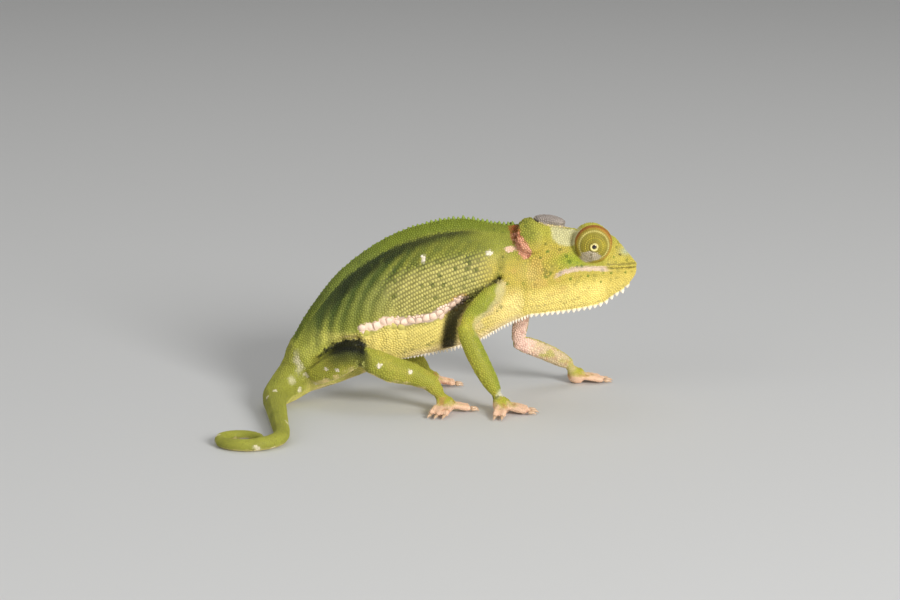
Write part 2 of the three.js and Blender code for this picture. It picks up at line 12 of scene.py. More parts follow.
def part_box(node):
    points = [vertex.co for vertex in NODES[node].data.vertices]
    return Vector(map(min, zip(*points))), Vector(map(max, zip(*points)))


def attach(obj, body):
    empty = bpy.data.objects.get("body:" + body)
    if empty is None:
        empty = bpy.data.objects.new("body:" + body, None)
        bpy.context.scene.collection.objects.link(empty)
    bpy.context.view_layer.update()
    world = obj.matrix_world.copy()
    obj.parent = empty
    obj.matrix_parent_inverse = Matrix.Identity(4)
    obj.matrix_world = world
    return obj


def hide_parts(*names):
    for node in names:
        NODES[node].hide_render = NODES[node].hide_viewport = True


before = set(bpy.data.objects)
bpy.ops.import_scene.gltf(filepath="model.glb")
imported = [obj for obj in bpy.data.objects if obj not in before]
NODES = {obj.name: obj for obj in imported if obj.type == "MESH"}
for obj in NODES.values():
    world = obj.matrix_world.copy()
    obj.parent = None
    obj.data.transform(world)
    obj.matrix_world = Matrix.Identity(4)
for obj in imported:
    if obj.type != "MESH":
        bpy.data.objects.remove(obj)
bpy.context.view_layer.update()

MM = 0.001
UP = Vector((0, 0, 1))
SIDES = {"right": -1.0, "left": 1.0}
SNOUT_X = 47.3
NAPE_X = 24.85
HEAD_ROLL = -0.14
ROLL_PIVOT_Z = 27.0
random.seed(11)

EYES = ["right_eye", "left_eye"]
CLAWS = sorted(name for name in NODES if "_claw_" in name)
FLESH = sorted(set(NODES) - set(EYES) - set(CLAWS))
HEAD_NODES = [n for n in FLESH if "jaw" in n or "turret" in n or "lobe" in n or n == "head"]
TRUNK_NODES = ["neck", "chest", "trunk_front", "trunk_rear", "pelvis"]
TAIL_NODES = [n for n in FLESH if n.startswith("tail")]
TOE_NODES = [n for n in FLESH if "toes" in n]
LEG_NODES = [n for n in FLESH if n not in HEAD_NODES + TRUNK_NODES + TAIL_NODES + TOE_NODES]


def node_box(name):
    low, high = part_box(name)
    return np.array(low) / MM, np.array(high) / MM


TRUNK_BOX = node_box("trunk_front")
HOME = np.array([node_box("head")[1][0] - SNOUT_X, (TRUNK_BOX[0][1] + TRUNK_BOX[1][1]) / 2, 0.0])


def to_world(points):
    return (np.asarray(points, float) + HOME) * MM


# ---- Shape helpers ----
def fade(distance, full, gone):
    """1 up to full, falling smoothly to 0 at gone."""
    t = np.clip((np.asarray(distance, float) - full) / (gone - full), 0.0, 1.0)
    return 1.0 - t * t * (3.0 - 2.0 * t)


def rise(value, start, end):
    """0 up to start, rising smoothly to 1 at end."""
    return 1.0 - fade(value, start, end)


def hump(value, centre, width):
    """1 at the centre, falling off to both sides like a bell."""
    return np.exp(-((value - centre) / width) ** 2)


def spot(across, up, centre, wide, tall):
    """The square of the distance from a spot's centre, 1 on its rim."""
    return ((across - centre[0]) / wide) ** 2 + ((up - centre[1]) / tall) ** 2


def among(labels, names):
    """Which points belong to the named flesh nodes."""
    return np.isin(labels, [FLESH.index(name) for name in names])


def flowing(points, steps):
    """A smooth run of points through the given ones."""
    rows = np.asarray(points, float)
    ends = np.vstack([2 * rows[0] - rows[1], rows, 2 * rows[-1] - rows[-2]])
    out = []
    for k in range(1, len(ends) - 2):
        p0, p1, p2, p3 = ends[k - 1:k + 3]
        for t in np.arange(steps) / steps:
            out.append(0.5 * (2 * p1 + (p2 - p0) * t + (2 * p0 - 5 * p1 + 4 * p2 - p3) * t * t
                              + (3 * p1 - p0 - 3 * p2 + p3) * t ** 3))
    out.append(rows[-1])
    return np.array(out)


def to_line(points, line):
    """Distance to a polyline and how far along it the nearest place is, both in millimetres."""
    starts, ends = line[:-1], line[1:]
    runs = ends - starts
    lengths = np.linalg.norm(runs, axis=1)
    before = np.concatenate([[0.0], np.cumsum(lengths)[:-1]])
    best = np.full(len(points), 1e9)
    along = np.zeros(len(points))
    for k in range(len(runs)):
        t = np.clip(((points - starts[k]) @ runs[k]) / lengths[k] ** 2, 0.0, 1.0)
        gap = np.linalg.norm(points - (starts[k] + t[:, None] * runs[k]), axis=1)
        closer = gap < best
        best[closer] = gap[closer]
        along[closer] = before[k] + t[closer] * lengths[k]
    return best, along


def head_frame(points):
    """Animal coordinates to the head's own, with its roll on the neck undone."""
    cos, sin = math.cos(HEAD_ROLL), math.sin(HEAD_ROLL)
    points = np.asarray(points, float)
    y, z = points[:, 1], points[:, 2] - ROLL_PIVOT_Z
    return np.column_stack([points[:, 0], y * cos + z * sin, ROLL_PIVOT_Z - y * sin + z * cos])


def from_head(point):
    """The head's own coordinates to the animal's."""
    turned = Matrix.Rotation(HEAD_ROLL, 3, "X") @ Vector(
        (point[0], point[1], point[2] - ROLL_PIVOT_Z))
    return Vector((turned.x, turned.y, turned.z + ROLL_PIVOT_Z))


def read_rows(items, field, width, kind=float):
    flat = np.empty(len(items) * width, kind)
    items.foreach_get(field, flat)
    return flat.reshape(-1, width)


def mesh_points(mesh):
    return read_rows(mesh.vertices, "co", 3) / MM - HOME


def mesh_normals(mesh):
    return read_rows(mesh.vertex_normals, "vector", 3)


def place_points(mesh, points):
    mesh.vertices.foreach_set("co", to_world(points).astype(np.float32).ravel())
    mesh.update()


class Web:
    """The edges of a mesh, for smoothing what its points carry."""

    def __init__(self, mesh):
        self.a, self.b = read_rows(mesh.edges, "vertices", 2, np.int32).T
        self.size = len(mesh.vertices)
        self.count = np.maximum(self.total(None, None), 1)

    def total(self, at_a, at_b):
        """For each point, the sum over its edges of what the other end carries, or of 1."""
        return np.bincount(self.a, at_b, self.size) + np.bincount(self.b, at_a, self.size)

    def mean(self, values):
        if values.ndim == 2:
            return np.column_stack([self.mean(values[:, k]) for k in range(values.shape[1])])
        return self.total(values[self.a], values[self.b]) / self.count

    def spread(self, values, rounds):
        for _ in range(rounds):
            values = 0.5 * values + 0.5 * self.mean(values)
        return values

    def relax(self, points, rounds, share=1.0, keep=True):
        """Smooths points; keep holds the volume."""
        share = np.broadcast_to(np.asarray(share, float), (self.size,))[:, None]
        for _ in range(rounds):
            points = points + 0.5 * share * (self.mean(points) - points)
            if keep:
                points = points - 0.52 * share * (self.mean(points) - points)
        return points


def mesh_of(bm, name):
    mesh = bpy.data.meshes.new(name)
    bm.to_mesh(mesh)
    bm.free()
    return mesh


def add_object(name, data):
    made = bpy.data.objects.new(name, data)
    bpy.context.scene.collection.objects.link(made)
    return made


def object_of(bm, name, smooth=True):
    mesh = mesh_of(bm, name)
    if smooth:
        mesh.shade_smooth()
    return add_object(name, mesh)


def pour(bm, whole):
    """Adds one bmesh to another."""
    mesh = mesh_of(bm, "part")
    whole.from_mesh(mesh)
    bpy.data.meshes.remove(mesh)


def into_world(bm):
    for vert in bm.verts:
        vert.co = (vert.co + Vector(HOME)) * MM


def spun(profile, spokes):
    """A closed shape turned round Z from a profile of radius and height."""
    bm = bmesh.new()
    verts = [bm.verts.new((radius, 0, height)) for radius, height in profile]
    edges = [bm.edges.new(pair) for pair in zip(verts, verts[1:])]
    bmesh.ops.spin(bm, geom=verts + edges, cent=(0, 0, 0), axis=UP, angle=2 * math.pi,
                   steps=spokes, use_merge=True)
    bmesh.ops.remove_doubles(bm, verts=bm.verts, dist=1e-4)
    bmesh.ops.recalc_face_normals(bm, faces=bm.faces)
    return bm


def turn_from_up(axis):
    """The turn that brings Z onto an axis."""
    return UP.rotation_difference(axis).to_matrix()


# ---- Lines of the body ----
# Middle line of the trunk with its half height: x, z, half height.
BACK_LINE = flowing([
    (28.0, 26.9, 8.8), (24.85, 26.6, 9.1), (20.4, 26.0, 10.1), (13.3, 24.8, 12.4),
    (4.3, 22.4, 12.7),
    (-3.9, 18.8, 11.4), (-10.6, 13.9, 9.4), (-16.2, 9.2, 7.0), (-20.5, 5.4, 4.7), (-22.9, 2.6, 3.1),
], 8)
BACK_RUN = np.concatenate(
    [[0.0], np.cumsum(np.linalg.norm(np.diff(BACK_LINE[:, :2], axis=0), axis=1))])
NAPE_RUN = float(np.interp(-NAPE_X, -BACK_LINE[:, 0], BACK_RUN))


def trunk_frame(points):
    """Millimetres behind the nape, offset up from the middle line, half height there, and that
    upward direction."""
    flat = points[:, [0, 2]]
    _, along = to_line(flat, BACK_LINE[:, :2])
    centre, up, half = trunk_centre(along)
    return along - NAPE_RUN, np.einsum("ij,ij->i", flat - centre, up), half, up


def trunk_centre(along):
    """The middle line at a run along it: place, upward direction and half height."""
    def at(run, k):
        return np.interp(run, BACK_RUN, BACK_LINE[:, k])
    centre = np.column_stack([at(along, 0), at(along, 1)])
    tangent = np.column_stack([at(along + 0.5, 0) - at(along - 0.5, 0),
                               at(along + 0.5, 1) - at(along - 0.5, 1)])
    tangent /= np.maximum(np.linalg.norm(tangent, axis=1), 1e-6)[:, None]
    return centre, np.column_stack([tangent[:, 1], -tangent[:, 0]]), at(along, 2)


def trunk_place(points):
    """How far behind the nape, and how high in the trunk from -1 at the keel to 1 at the crest."""
    run, offset, half, _ = trunk_frame(points)
    return run, offset / half


# Mouth line in the head's own coordinates: x, z.
MOUTH = flowing([(30.2, 25.6), (31.4, 26.3), (33.4, 27.05), (36.0, 27.45), (40.0, 27.35),
                 (44.0, 27.3),
                 (47.6, 27.45)], 6)
# Turret: centre and size as the head has them.
TURRET_AT = (38.35, 4.2, 32.3)
TURRET_RADIUS = 3.9
TURRET_REACH = 3.9
TURRET_POINT = 1.75
TURRET_DROOP = 0.18
LID_OPENING = 0.42
# Where the dome ends and the rolled lid begins, and the lid from there to inside the opening.
LID_RIM = 1.02
LID_PROFILE = [(0.98, 3.60), (0.90, 3.67), (0.80, 3.71), (0.66, 3.71), (0.52, 3.68),
               (LID_OPENING, 3.60), (0.40, 3.45), (0.46, 3.2), (0.0, 2.3)]
RING_PITCH = 0.40
# Underside of the jaws in the head's own coordinates: x, z.
CHIN = np.array([(25.15, 17.9), (27.6, 18.3), (30.6, 18.7), (34.0, 19.1), (38.0, 19.8),
                 (41.2, 20.8), (44.0, 22.4),
                 (46.2, 24.2), (47.3, 25.8)])


NOSTRIL_AT = (43.6, 2.4, 29.9)
LOBE_AT = (26.2, 4.4, 33.5)
ROOF_AT = (29.8, 0.0, 36.6)


def turret_axis(side):
    return Vector((0, side, -TURRET_DROOP)).normalized()


def on_side(place, side):
    """A place of the left half of the head, on the given side."""
    return np.array([place[0], side * place[1], place[2]])


def from_turret(head, side):
    """Places in the head's coordinates as seen from a turret: from its centre, how far out along
    its axis, and how far from that axis."""
    local = head - on_side(TURRET_AT, side)
    axis = np.array(turret_axis(side))
    out = local @ axis
    return local, out, np.linalg.norm(local - np.outer(out, axis), axis=1)


def from_nostril(head):
    """Distance to the nearer nostril."""
    return np.minimum(*(np.linalg.norm(head - on_side(NOSTRIL_AT, side), axis=1)
                        for side in SIDES.values()))

# ---- Skin ----
SWELL = 0.3
VOXEL = 0.41
TURRET_RINGS = 64
TURRET_SPOKES = 60
ROLL_FADE = 10.0
COAT_DEPTH = 0.15


def wrist_places():
    """The middle of each wrist and ankle, where a lower leg meets its foot."""
    places = []
    for side in SIDES:
        for lower, foot in (("forearm", "front"), ("shin", "hind")):
            shank = mesh_points(NODES[f"{side}_{lower}"].data)
            toes = np.vstack([mesh_points(NODES[f"{side}_{foot}_{which}_toes"].data)
                              for which in ("inner", "outer")])
            gaps = np.linalg.norm(shank[:, None, :] - toes[None, :, :], axis=2)
            close = np.argwhere(gaps < gaps.min() + 0.9)
            places.append((shank[close[:, 0]].mean(axis=0) + toes[close[:, 1]].mean(axis=0)) / 2)
    return np.array(places)


WRISTS = wrist_places()
WRIST_RADIUS = 1.25


def fused_flesh():
    """The flesh solids and the eyes swollen until they meet, as one closed surface."""
    whole = bmesh.new()
    for name in FLESH + EYES:
        part = bmesh.new()
        part.from_mesh(NODES[name].data)
        bmesh.ops.remove_doubles(part, verts=part.verts, dist=0.002 * MM)
        bmesh.ops.recalc_face_normals(part, faces=part.faces)
        part.normal_update()
        for vert in part.verts:
            vert.co += vert.normal * SWELL * MM
        pour(part, whole)
    for place in WRISTS:
        bmesh.ops.create_icosphere(whole, subdivisions=3, radius=WRIST_RADIUS * MM,
                                   matrix=Matrix.Translation(Vector(to_world(place))))
    body = object_of(whole, "flesh")
    remesh = body.modifiers.new("one surface", "REMESH")
    remesh.mode = "VOXEL"
    remesh.voxel_size = VOXEL * MM
    graph = bpy.context.evaluated_depsgraph_get()
    mesh = bpy.data.meshes.new_from_object(body.evaluated_get(graph))
    bpy.data.objects.remove(body)
    return mesh


def node_finder():
    """A search tree over all flesh solids that says which one is nearest."""
    verts, faces, owner = [], [], []
    for index, name in enumerate(FLESH):
        mesh = NODES[name].data
        start = len(verts)
        verts += [tuple(p) for p in mesh_points(mesh)]
        for polygon in mesh.polygons:
            faces.append([start + v for v in polygon.vertices])
            owner.append(index)
    return BVHTree.FromPolygons(verts, faces), owner


FINDER, OWNER = node_finder()


def nearest_nodes(points):
    return np.array([OWNER[FINDER.find_nearest(Vector(p))[2]] for p in points])


def refine_head(mesh, labels):
    """Halves the faces of the head, where the features are finest."""
    wanted = {FLESH.index(name) for name in HEAD_NODES}
    bm = bmesh.new()
    bm.from_mesh(mesh)
    bm.verts.ensure_lookup_table()
    edges = [e for e in bm.edges if labels[e.verts[0].index] in wanted
             and labels[e.verts[1].index] in wanted]
    bmesh.ops.subdivide_edges(bm, edges=edges, cuts=1, use_grid_fill=True)
    bmesh.ops.triangulate(bm, faces=[f for f in bm.faces if len(f.verts) > 4])
    bm.to_mesh(mesh)
    bm.free()


def turret_cover(side):
    """The lid-covered dome of an eye: a spun skin with fine rings and a rolled lid round a small
    opening."""
    profile = [(0.0, -1.0), (TURRET_RADIUS - 0.9, -1.0)]
    for step in range(TURRET_RINGS + 1):
        turn = math.pi / 2 * step / TURRET_RINGS
        radius = TURRET_RADIUS * math.cos(turn) ** (2 / TURRET_POINT)
        height = TURRET_REACH * math.sin(turn) ** (2 / TURRET_POINT)
        if radius < LID_RIM:
            break
        ring = 0.04 * math.cos(2 * math.pi * radius / RING_PITCH)
        groove = -0.10 * hump(radius, 2.92, 0.1) - 0.10 * hump(radius, 1.12, 0.12)
        fold = 0.07 * hump(radius, 3.45, 0.22)
        out = ring + groove + fold - COAT_DEPTH
        profile.append((radius + out * math.cos(turn), height + out * math.sin(turn)))
    profile += LID_PROFILE
    bm = spun(profile, TURRET_SPOKES)
    turn = turn_from_up(turret_axis(side)).to_4x4()
    at = Matrix.Translation(Vector(on_side(TURRET_AT, side)))
    bmesh.ops.transform(bm, matrix=at @ turn, verts=bm.verts)
    for vert in bm.verts:
        vert.co = from_head(vert.co)
    into_world(bm)
    return bm


def unit_noise(points, pitch, seed=0.0):
    """Smooth noise from -1 to 1 with features about pitch millimetres across."""
    return np.array([noise.noise(Vector(p) / pitch + Vector((seed, seed, seed))) for p in points])


def without_cones(points, labels):
    """The points with the crest and throat cones pressed back to the line they stand on."""
    points = points.copy()
    on_trunk = among(labels, TRUNK_NODES)
    run, offset, half, up = trunk_frame(points)
    most = half + SWELL - 0.05
    push = np.clip(offset, -most, most) - offset
    push = np.where(on_trunk & (np.abs(points[:, 1]) < 2.5), push, 0.0)
    points[:, 0] += up[:, 0] * push
    points[:, 2] += up[:, 1] * push
    on_jaw = among(labels, ["lower_jaw", "head"])
    head = head_frame(points)
    lowest = np.interp(head[:, 0], CHIN[:, 0], CHIN[:, 1]) - SWELL + 0.05
    points[:, 2] += np.where(on_jaw & (np.abs(head[:, 1]) < 2.0),
                             np.maximum(lowest - head[:, 2], 0.0), 0.0)
    return points


def off_middle(points):
    """Sideways distance from the trunk's middle plane, which leans over with the head just behind
    the nape."""
    behind = np.maximum(NAPE_X - points[:, 0], 0.0)
    fading = np.maximum(0.0, 1.0 - behind / ROLL_FADE) ** 2
    return points[:, 1] + HEAD_ROLL * (points[:, 2] - ROLL_PIVOT_Z) * fading


def spine_share(points, labels):
    """1 on the narrow strip along crest, throat and keel where the cones stand."""
    spine = among(labels, TRUNK_NODES + ["lower_jaw"])
    middle = np.where(points[:, 0] < NAPE_X, off_middle(points), head_frame(points)[:, 1])
    return fade(np.abs(middle), 0.9, 2.0) * spine


def shortfall_along(at, shortfall, stations):
    """How much a worn ridge lacks at each station, from the highest points near it, evened out."""
    found = np.array([np.min(shortfall[np.abs(at - s) < 0.6], initial=9.0) for s in stations])
    found = np.clip(np.where(found > 3.0, 0.0, found), 0.0, 1.3)
    return np.convolve(np.pad(found, 2, "edge"), np.ones(5) / 5, "valid")


def level_ridges(mesh, points):
    """Brings crest, keel and throat line, which smoothing wears down, back up to the solids."""
    web = Web(mesh)
    labels = nearest_nodes(points)
    run, offset, half, up = trunk_frame(points)
    trunk = among(labels, TRUNK_NODES)
    share = web.spread(trunk.astype(float), 3)
    sideways = np.abs(off_middle(points))
    stations = np.arange(-2.0, 48.0, 0.8)
    points = points.copy()
    for turn in (1.0, -1.0):
        height = turn * offset
        middle = trunk & (sideways < 0.6) & (height > 0)
        goal = half - COAT_DEPTH + 0.35 * fade(run, 18.0, 36.0) * (turn > 0)
        lacking = shortfall_along(run[middle], (goal - height)[middle], stations)
        lift = turn * np.interp(run, stations, lacking) * share
        lift *= fade(sideways, 0.2, 2.4) * rise(height / half, 0.5, 0.9)
        points[:, 0] += up[:, 0] * lift
        points[:, 2] += up[:, 1] * lift
    # The foot of one chin cone is left standing by the steps before, so it is smoothed away first
    head = head_frame(points)
    above = head[:, 2] - np.interp(head[:, 0], CHIN[:, 0], CHIN[:, 1])
    stub = (fade(np.abs(head[:, 0] - 42.85), 0.8, 1.4) * fade(np.abs(head[:, 1]), 0.8, 1.3)
            * (above < 1.5))
    points = web.relax(points, 40, stub, keep=False)
    head = head_frame(points)
    above = head[:, 2] - np.interp(head[:, 0], CHIN[:, 0], CHIN[:, 1])
    jaw = among(labels, ("lower_jaw", "head")) & (above < 4.0)
    stations = np.arange(25.4, 47.2, 0.8)
    middle = jaw & (np.abs(head[:, 1]) < 0.6)
    lacking = shortfall_along(head[middle, 0], (above + 0.15)[middle], stations)
    drop = (np.interp(head[:, 0], stations, lacking) * fade(np.abs(head[:, 1]), 0.2, 2.4)
            * fade(above, 0.8, 3.0))
    drop *= fade(head[:, 0], 40.6, 42.6)
    down = np.array(from_head((0, 0, -1)) - from_head((0, 0, 0)))
    return points + down * (drop * web.spread(jaw.astype(float), 3))[:, None]


def flap_share(points, labels):
    """1 where each neck flap runs into the cheek; its upper rear edge stays free."""
    head = head_frame(points)
    skull = among(labels, ("head", "neck", "right_occipital_lobe", "left_occipital_lobe"))
    round_lobe = np.hypot((head[:, 0] - LOBE_AT[0]) / 3.1, (head[:, 2] - LOBE_AT[2]) / 4.1)
    edge = np.exp(-((round_lobe - 0.95) / np.where(round_lobe < 0.95, 0.45, 0.8)) ** 2)
    joined = np.maximum(rise(head[:, 0], 25.2, 27.0), fade(head[:, 2], 30.6, 32.4))
    return edge * joined * skull * rise(np.abs(head[:, 1]), 1.5, 2.5) * fade(head[:, 0], 33.0, 34.0)


def fit_to_solids(mesh, points, rounds, depth):
    """Moves the skin along its normals until it lies at the given depth inside the solids,
    bridging their gaps."""
    web = Web(mesh)
    labels = nearest_nodes(points)
    spare = 1.0 - np.clip(spine_share(points, labels) + flap_share(points, labels), 0, 1)
    toes = among(labels, TOE_NODES) & (points[:, 2] < 1.9)
    to_wrist = np.linalg.norm(points[:, None, :] - WRISTS[None, :, :], axis=2).min(axis=1)
    spare = spare * rise(to_wrist, 1.3, 2.2)
    seam = np.zeros(len(points))
    parted = labels[web.a] != labels[web.b]
    seam[web.a[parted]] = seam[web.b[parted]] = 1.0
    seam = np.where(toes, 0.0, np.clip(1.6 * web.spread(seam, 3), 0.0, 1.0))
    for _ in range(rounds):
        place_points(mesh, points)
        normals = mesh_normals(mesh)
        error = np.empty(len(points))
        sure = np.empty(len(points))
        for index, point in enumerate(points):
            at, normal, _, away = FINDER.find_nearest(Vector(point))
            error[index] = away if (Vector(point) - at).dot(normal) > 0 else -away
            sure[index] = 1.0 if toes[index] or normal.dot(Vector(normals[index])) > 0.75 else 0.01
        sure *= 1.0 - 0.98 * seam
        shift = np.clip(-(error + depth), -0.4, 0.4)
        shift = web.spread(shift * sure, 6) / web.spread(sure, 6) * spare
        points = points + normals * shift[:, None]
        points = web.relax(points, 1)
    return web.relax(points, 10, seam)


def smooth_throat(mesh, points):
    """Evens out the step where the jaw runs into the sides of the neck."""
    web = Web(mesh)
    labels = nearest_nodes(points)
    jaw, neck = (among(labels, names) for names in (["head", "lower_jaw"], ["neck", "chest"]))
    border = np.zeros(web.size)
    met = jaw[web.a] & neck[web.b] | neck[web.a] & jaw[web.b]
    border[web.a[met]] = border[web.b[met]] = 1.0
    border = np.clip(2.5 * web.spread(border, 10), 0.0, 1.0)
    border *= rise(np.abs(points[:, 1]), 0.8, 2.0) * fade(points[:, 2], 29.0, 31.5)
    return web.relax(points, 30, border, keep=False)


def skin_mesh():
    mesh = fused_flesh()
    web = Web(mesh)
    points = mesh_points(mesh)
    labels = nearest_nodes(points)
    points = without_cones(points, labels)
    slim = among(labels, TOE_NODES)
    points = web.relax(points, 6, np.where(slim, 0.4, 1.0))
    points = web.relax(points, 12, spine_share(points, labels), keep=False)
    points = web.relax(points, 90, flap_share(points, labels), keep=False)
    place_points(mesh, points)
    inward = web.spread(mesh_normals(mesh), 2)
    inward /= np.maximum(np.linalg.norm(inward, axis=1), 1e-6)[:, None]
    points = points - inward * (SWELL + COAT_DEPTH) * np.where(slim, 0.6, 1.0)[:, None]
    place_points(mesh, points)
    refine_head(mesh, labels)
    points = Web(mesh).relax(mesh_points(mesh), 5)
    points = fit_to_solids(mesh, points, 4, COAT_DEPTH)
    points = smooth_throat(mesh, points)
    place_points(mesh, level_ridges(mesh, points))
    return mesh


# ---- Relief of the skin ----
# Folds and ridges as lines. Side on, x and z: behind the near arm, the flank over the thigh,
# the neck.
ARMPIT = flowing([(19.9, 25.9), (17.9, 24.8), (16.1, 23.6), (13.7, 21.8), (11.9, 20.0),
                  (10.6, 18.0), (10.1, 15.6), (9.9, 13.6), (9.7, 11.8)], 5)
GROIN = flowing([(-18.2, 8.2), (-16.8, 9.6), (-15.2, 11.2), (-12.3, 13.0), (-10.2, 13.7),
                 (-8.4, 13.7), (-6.8, 13.0), (-5.6, 11.8)], 5)
NECK_FOLD = flowing([(22.5, 35.8), (23.6, 33.4), (25.0, 31.0), (25.4, 29.6)], 6)
# On the head, x, y and z: from the brow to the snout, and back to the casque.
CANTHUS = flowing([(46.3, 1.3, 29.4), (44.0, 2.2, 31.9), (41.5, 3.0, 34.2)], 6)
TEMPLE_RIDGE = flowing([(34.6, 3.9, 33.2), (31.5, 4.3, 33.6), (28.4, 3.9, 34.4),
                        (26.4, 3.0, 35.3)], 6)
RIDGE_WIDTH = 0.75
CANTHUS_HEIGHT = 0.24
TEMPLE_HEIGHT = 0.26
MOUTH_DEPTH = 0.10
MOUTH_DEEPER_IN_FRONT = 0.16
LIP_HEIGHT = 0.11
NOSTRIL_DEPTH = 0.32
NOSTRIL_RIM = 0.10
ORBIT_DEPTH = 0.30
ORBIT_RADIUS = 4.15
BROW_HEIGHT = 0.70
CREST_HOLLOW = 0.32
RIB_PITCH = 2.5
RIB_HEIGHT = 0.17
RIB_LEAN = 0.031
RIB_DRIFT = 0.6
NECK_FOLD_DEPTH = 0.25
ARMPIT_DEPTH = 1.4
GROIN_DEPTH = 0.9
THIGH_FOLD_HEIGHT = 0.3
UNEVEN = 0.05
FLOOR_CLEARANCE = 0.02


class Lie:
    """Where each point of the skin lies on the animal."""

    def __init__(self, mesh):
        self.points, self.normals = mesh_points(mesh), mesh_normals(mesh)
        self.labels = nearest_nodes(self.points)
        self.web = Web(mesh)
        self.head = head_frame(self.points)
        self.run, self.height = trunk_place(self.points)
        self.flat = self.points[:, [0, 2]]
        self.side = np.abs(self.points[:, 1])
        self.near = self.points[:, 1] < 0

    def on(self, names, rounds):
        """1 on the named flesh nodes, with a border that softens with the rounds."""
        return self.web.spread(among(self.labels, names).astype(float), rounds)


def rib_wave(points):
    """-1 to 1 across the ribs, which stand upright low on the flank and lean forward higher up."""
    lean = RIB_LEAN * np.maximum(points[:, 2] - 14.6, 0.0) ** 2
    drift = RIB_DRIFT * unit_noise(points, 6.0, 13.0)
    return np.cos(2 * math.pi * (points[:, 0] - lean + drift) / RIB_PITCH)


def head_relief(at, shift):
    """Mouth with its lips, nostrils, ridges and the hollow round each turret."""
    head, on_head = at.head, at.on(["head", "lower_jaw"], 4)
    gap, _ = to_line(head[:, [0, 2]], MOUTH)
    side_on = rise(np.abs(head[:, 1]), 0.2, 0.8) + (head[:, 0] > 45.5)
    side_on = np.clip(side_on, 0, 1) * on_head
    depth = MOUTH_DEPTH + MOUTH_DEEPER_IN_FRONT * rise(head[:, 0], 40.0, 42.0)
    shift -= depth * fade(gap, 0.05, 0.26) * side_on
    shift += LIP_HEIGHT * hump(gap, 0.55, 0.25) * side_on
    nostril = from_nostril(head)
    shift += -NOSTRIL_DEPTH * fade(nostril, 0.12, 0.5) + NOSTRIL_RIM * hump(nostril, 0.75, 0.25)
    folded = np.column_stack([head[:, 0], np.abs(head[:, 1]), head[:, 2]])
    for ridge, tall in ((CANTHUS, CANTHUS_HEIGHT), (TEMPLE_RIDGE, TEMPLE_HEIGHT)):
        away, _ = to_line(folded, ridge)
        shift += tall * fade(away, 0.0, RIDGE_WIDTH) * on_head
    for side in SIDES.values():
        away = np.linalg.norm((head - on_side(TURRET_AT, side)) * [1, 0.35, 1], axis=1)
        shift -= ORBIT_DEPTH * hump(away, ORBIT_RADIUS, 0.32) * on_head


def trunk_relief(at, shift):
    """A light hollow under the crest, the ribs behind the shoulder, and the fold of the neck."""
    run, height, on_trunk = at.run, at.height, at.on(TRUNK_NODES, 8)
    flank = fade(np.abs(height - 0.05), 0.45, 0.8) * on_trunk
    shift -= CREST_HOLLOW * hump(height, 0.78, 0.09) * on_trunk * rise(run, 8, 16) * fade(run, 34, 42)
    shift += RIB_HEIGHT * rib_wave(at.points) * flank * rise(run, 16, 26) * fade(run, 40, 46)
    gap, along = to_line(at.flat, NECK_FOLD)
    near = (at.side > 1.0) * at.on(["neck", "head", "chest", "lower_jaw"], 4)
    shift -= NECK_FOLD_DEPTH * fade(gap, 0.1, 0.75) * near * fade(along, 4.5, 7.0)


def fold_relief(at, shift):
    """The deep fold behind the near upper arm, and the fold of flank over the near thigh."""
    trunk_only = at.on(TRUNK_NODES, 1)
    gap, along = to_line(at.flat, ARMPIT)
    width = 0.5 + 1.1 * rise(along, 3.0, 13.0)
    shift -= ARMPIT_DEPTH * hump(gap, 0.0, width) * trunk_only * at.near * rise(at.side, 1.0, 2.5)
    gap, _ = to_line(at.flat, GROIN)
    leg_side = at.on(["right_thigh", "left_thigh"] + TRUNK_NODES, 2) * rise(at.side, 1.5, 3.0)
    leg_side = leg_side * at.near * fade(at.points[:, 0], -8.0, -6.2)
    shift -= GROIN_DEPTH * hump(gap, 0.0, 0.6) * leg_side
    shift += THIGH_FOLD_HEIGHT * hump(gap, 1.2, 0.6) * trunk_only * leg_side


def carve(mesh):
    """Lips, nostrils, ridges, folds and creases, as shifts along the skin's own normals."""
    at = Lie(mesh)
    shift = np.zeros(len(at.points))
    head_relief(at, shift)
    trunk_relief(at, shift)
    fold_relief(at, shift)
    # Brow between the casque and the eye
    brow = spot(at.head[:, 0], np.abs(at.head[:, 1]), (35.2, 3.0), 1.7, 1.6)
    on_head = at.on(["head", "lower_jaw"], 4)
    shift += BROW_HEIGHT * np.exp(-brow) * rise(at.head[:, 2], 33.5, 34.8) * on_head
    shift += UNEVEN * unit_noise(at.points, 1.6) * at.on(TRUNK_NODES, 8)
    shift += UNEVEN * unit_noise(at.points, 0.9, 7.0) * at.on(LEG_NODES, 4)
    points = at.points + at.normals * shift[:, None]
    # The snout ends blunt, not in a beak
    tip = np.linalg.norm(at.head - np.array([MOUTH[-1, 0], 0.0, MOUTH[-1, 1] + 0.4]), axis=1)
    points = at.web.relax(points, 16, fade(tip, 0.6, 2.0), keep=False)
    points[:, 2] = np.maximum(points[:, 2], FLOOR_CLEARANCE)
    place_points(mesh, points)


def build_skin():
    mesh = skin_mesh()
    carve(mesh)
    bm = bmesh.new()
    bm.from_mesh(mesh)
    bpy.data.meshes.remove(mesh)
    for side in SIDES.values():
        pour(turret_cover(side), bm)
    return object_of(bm, "skin")


skin = build_skin()
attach(skin, "root")
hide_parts(*FLESH)


# ---- Colours ----
def shade(red, green, blue):
    """A colour as the eye reads it, 0 to 255, turned into linear light."""
    seen = np.array([red, green, blue]) / 255.0
    return np.where(seen <= 0.04045, seen / 12.92, ((seen + 0.055) / 1.055) ** 2.4)


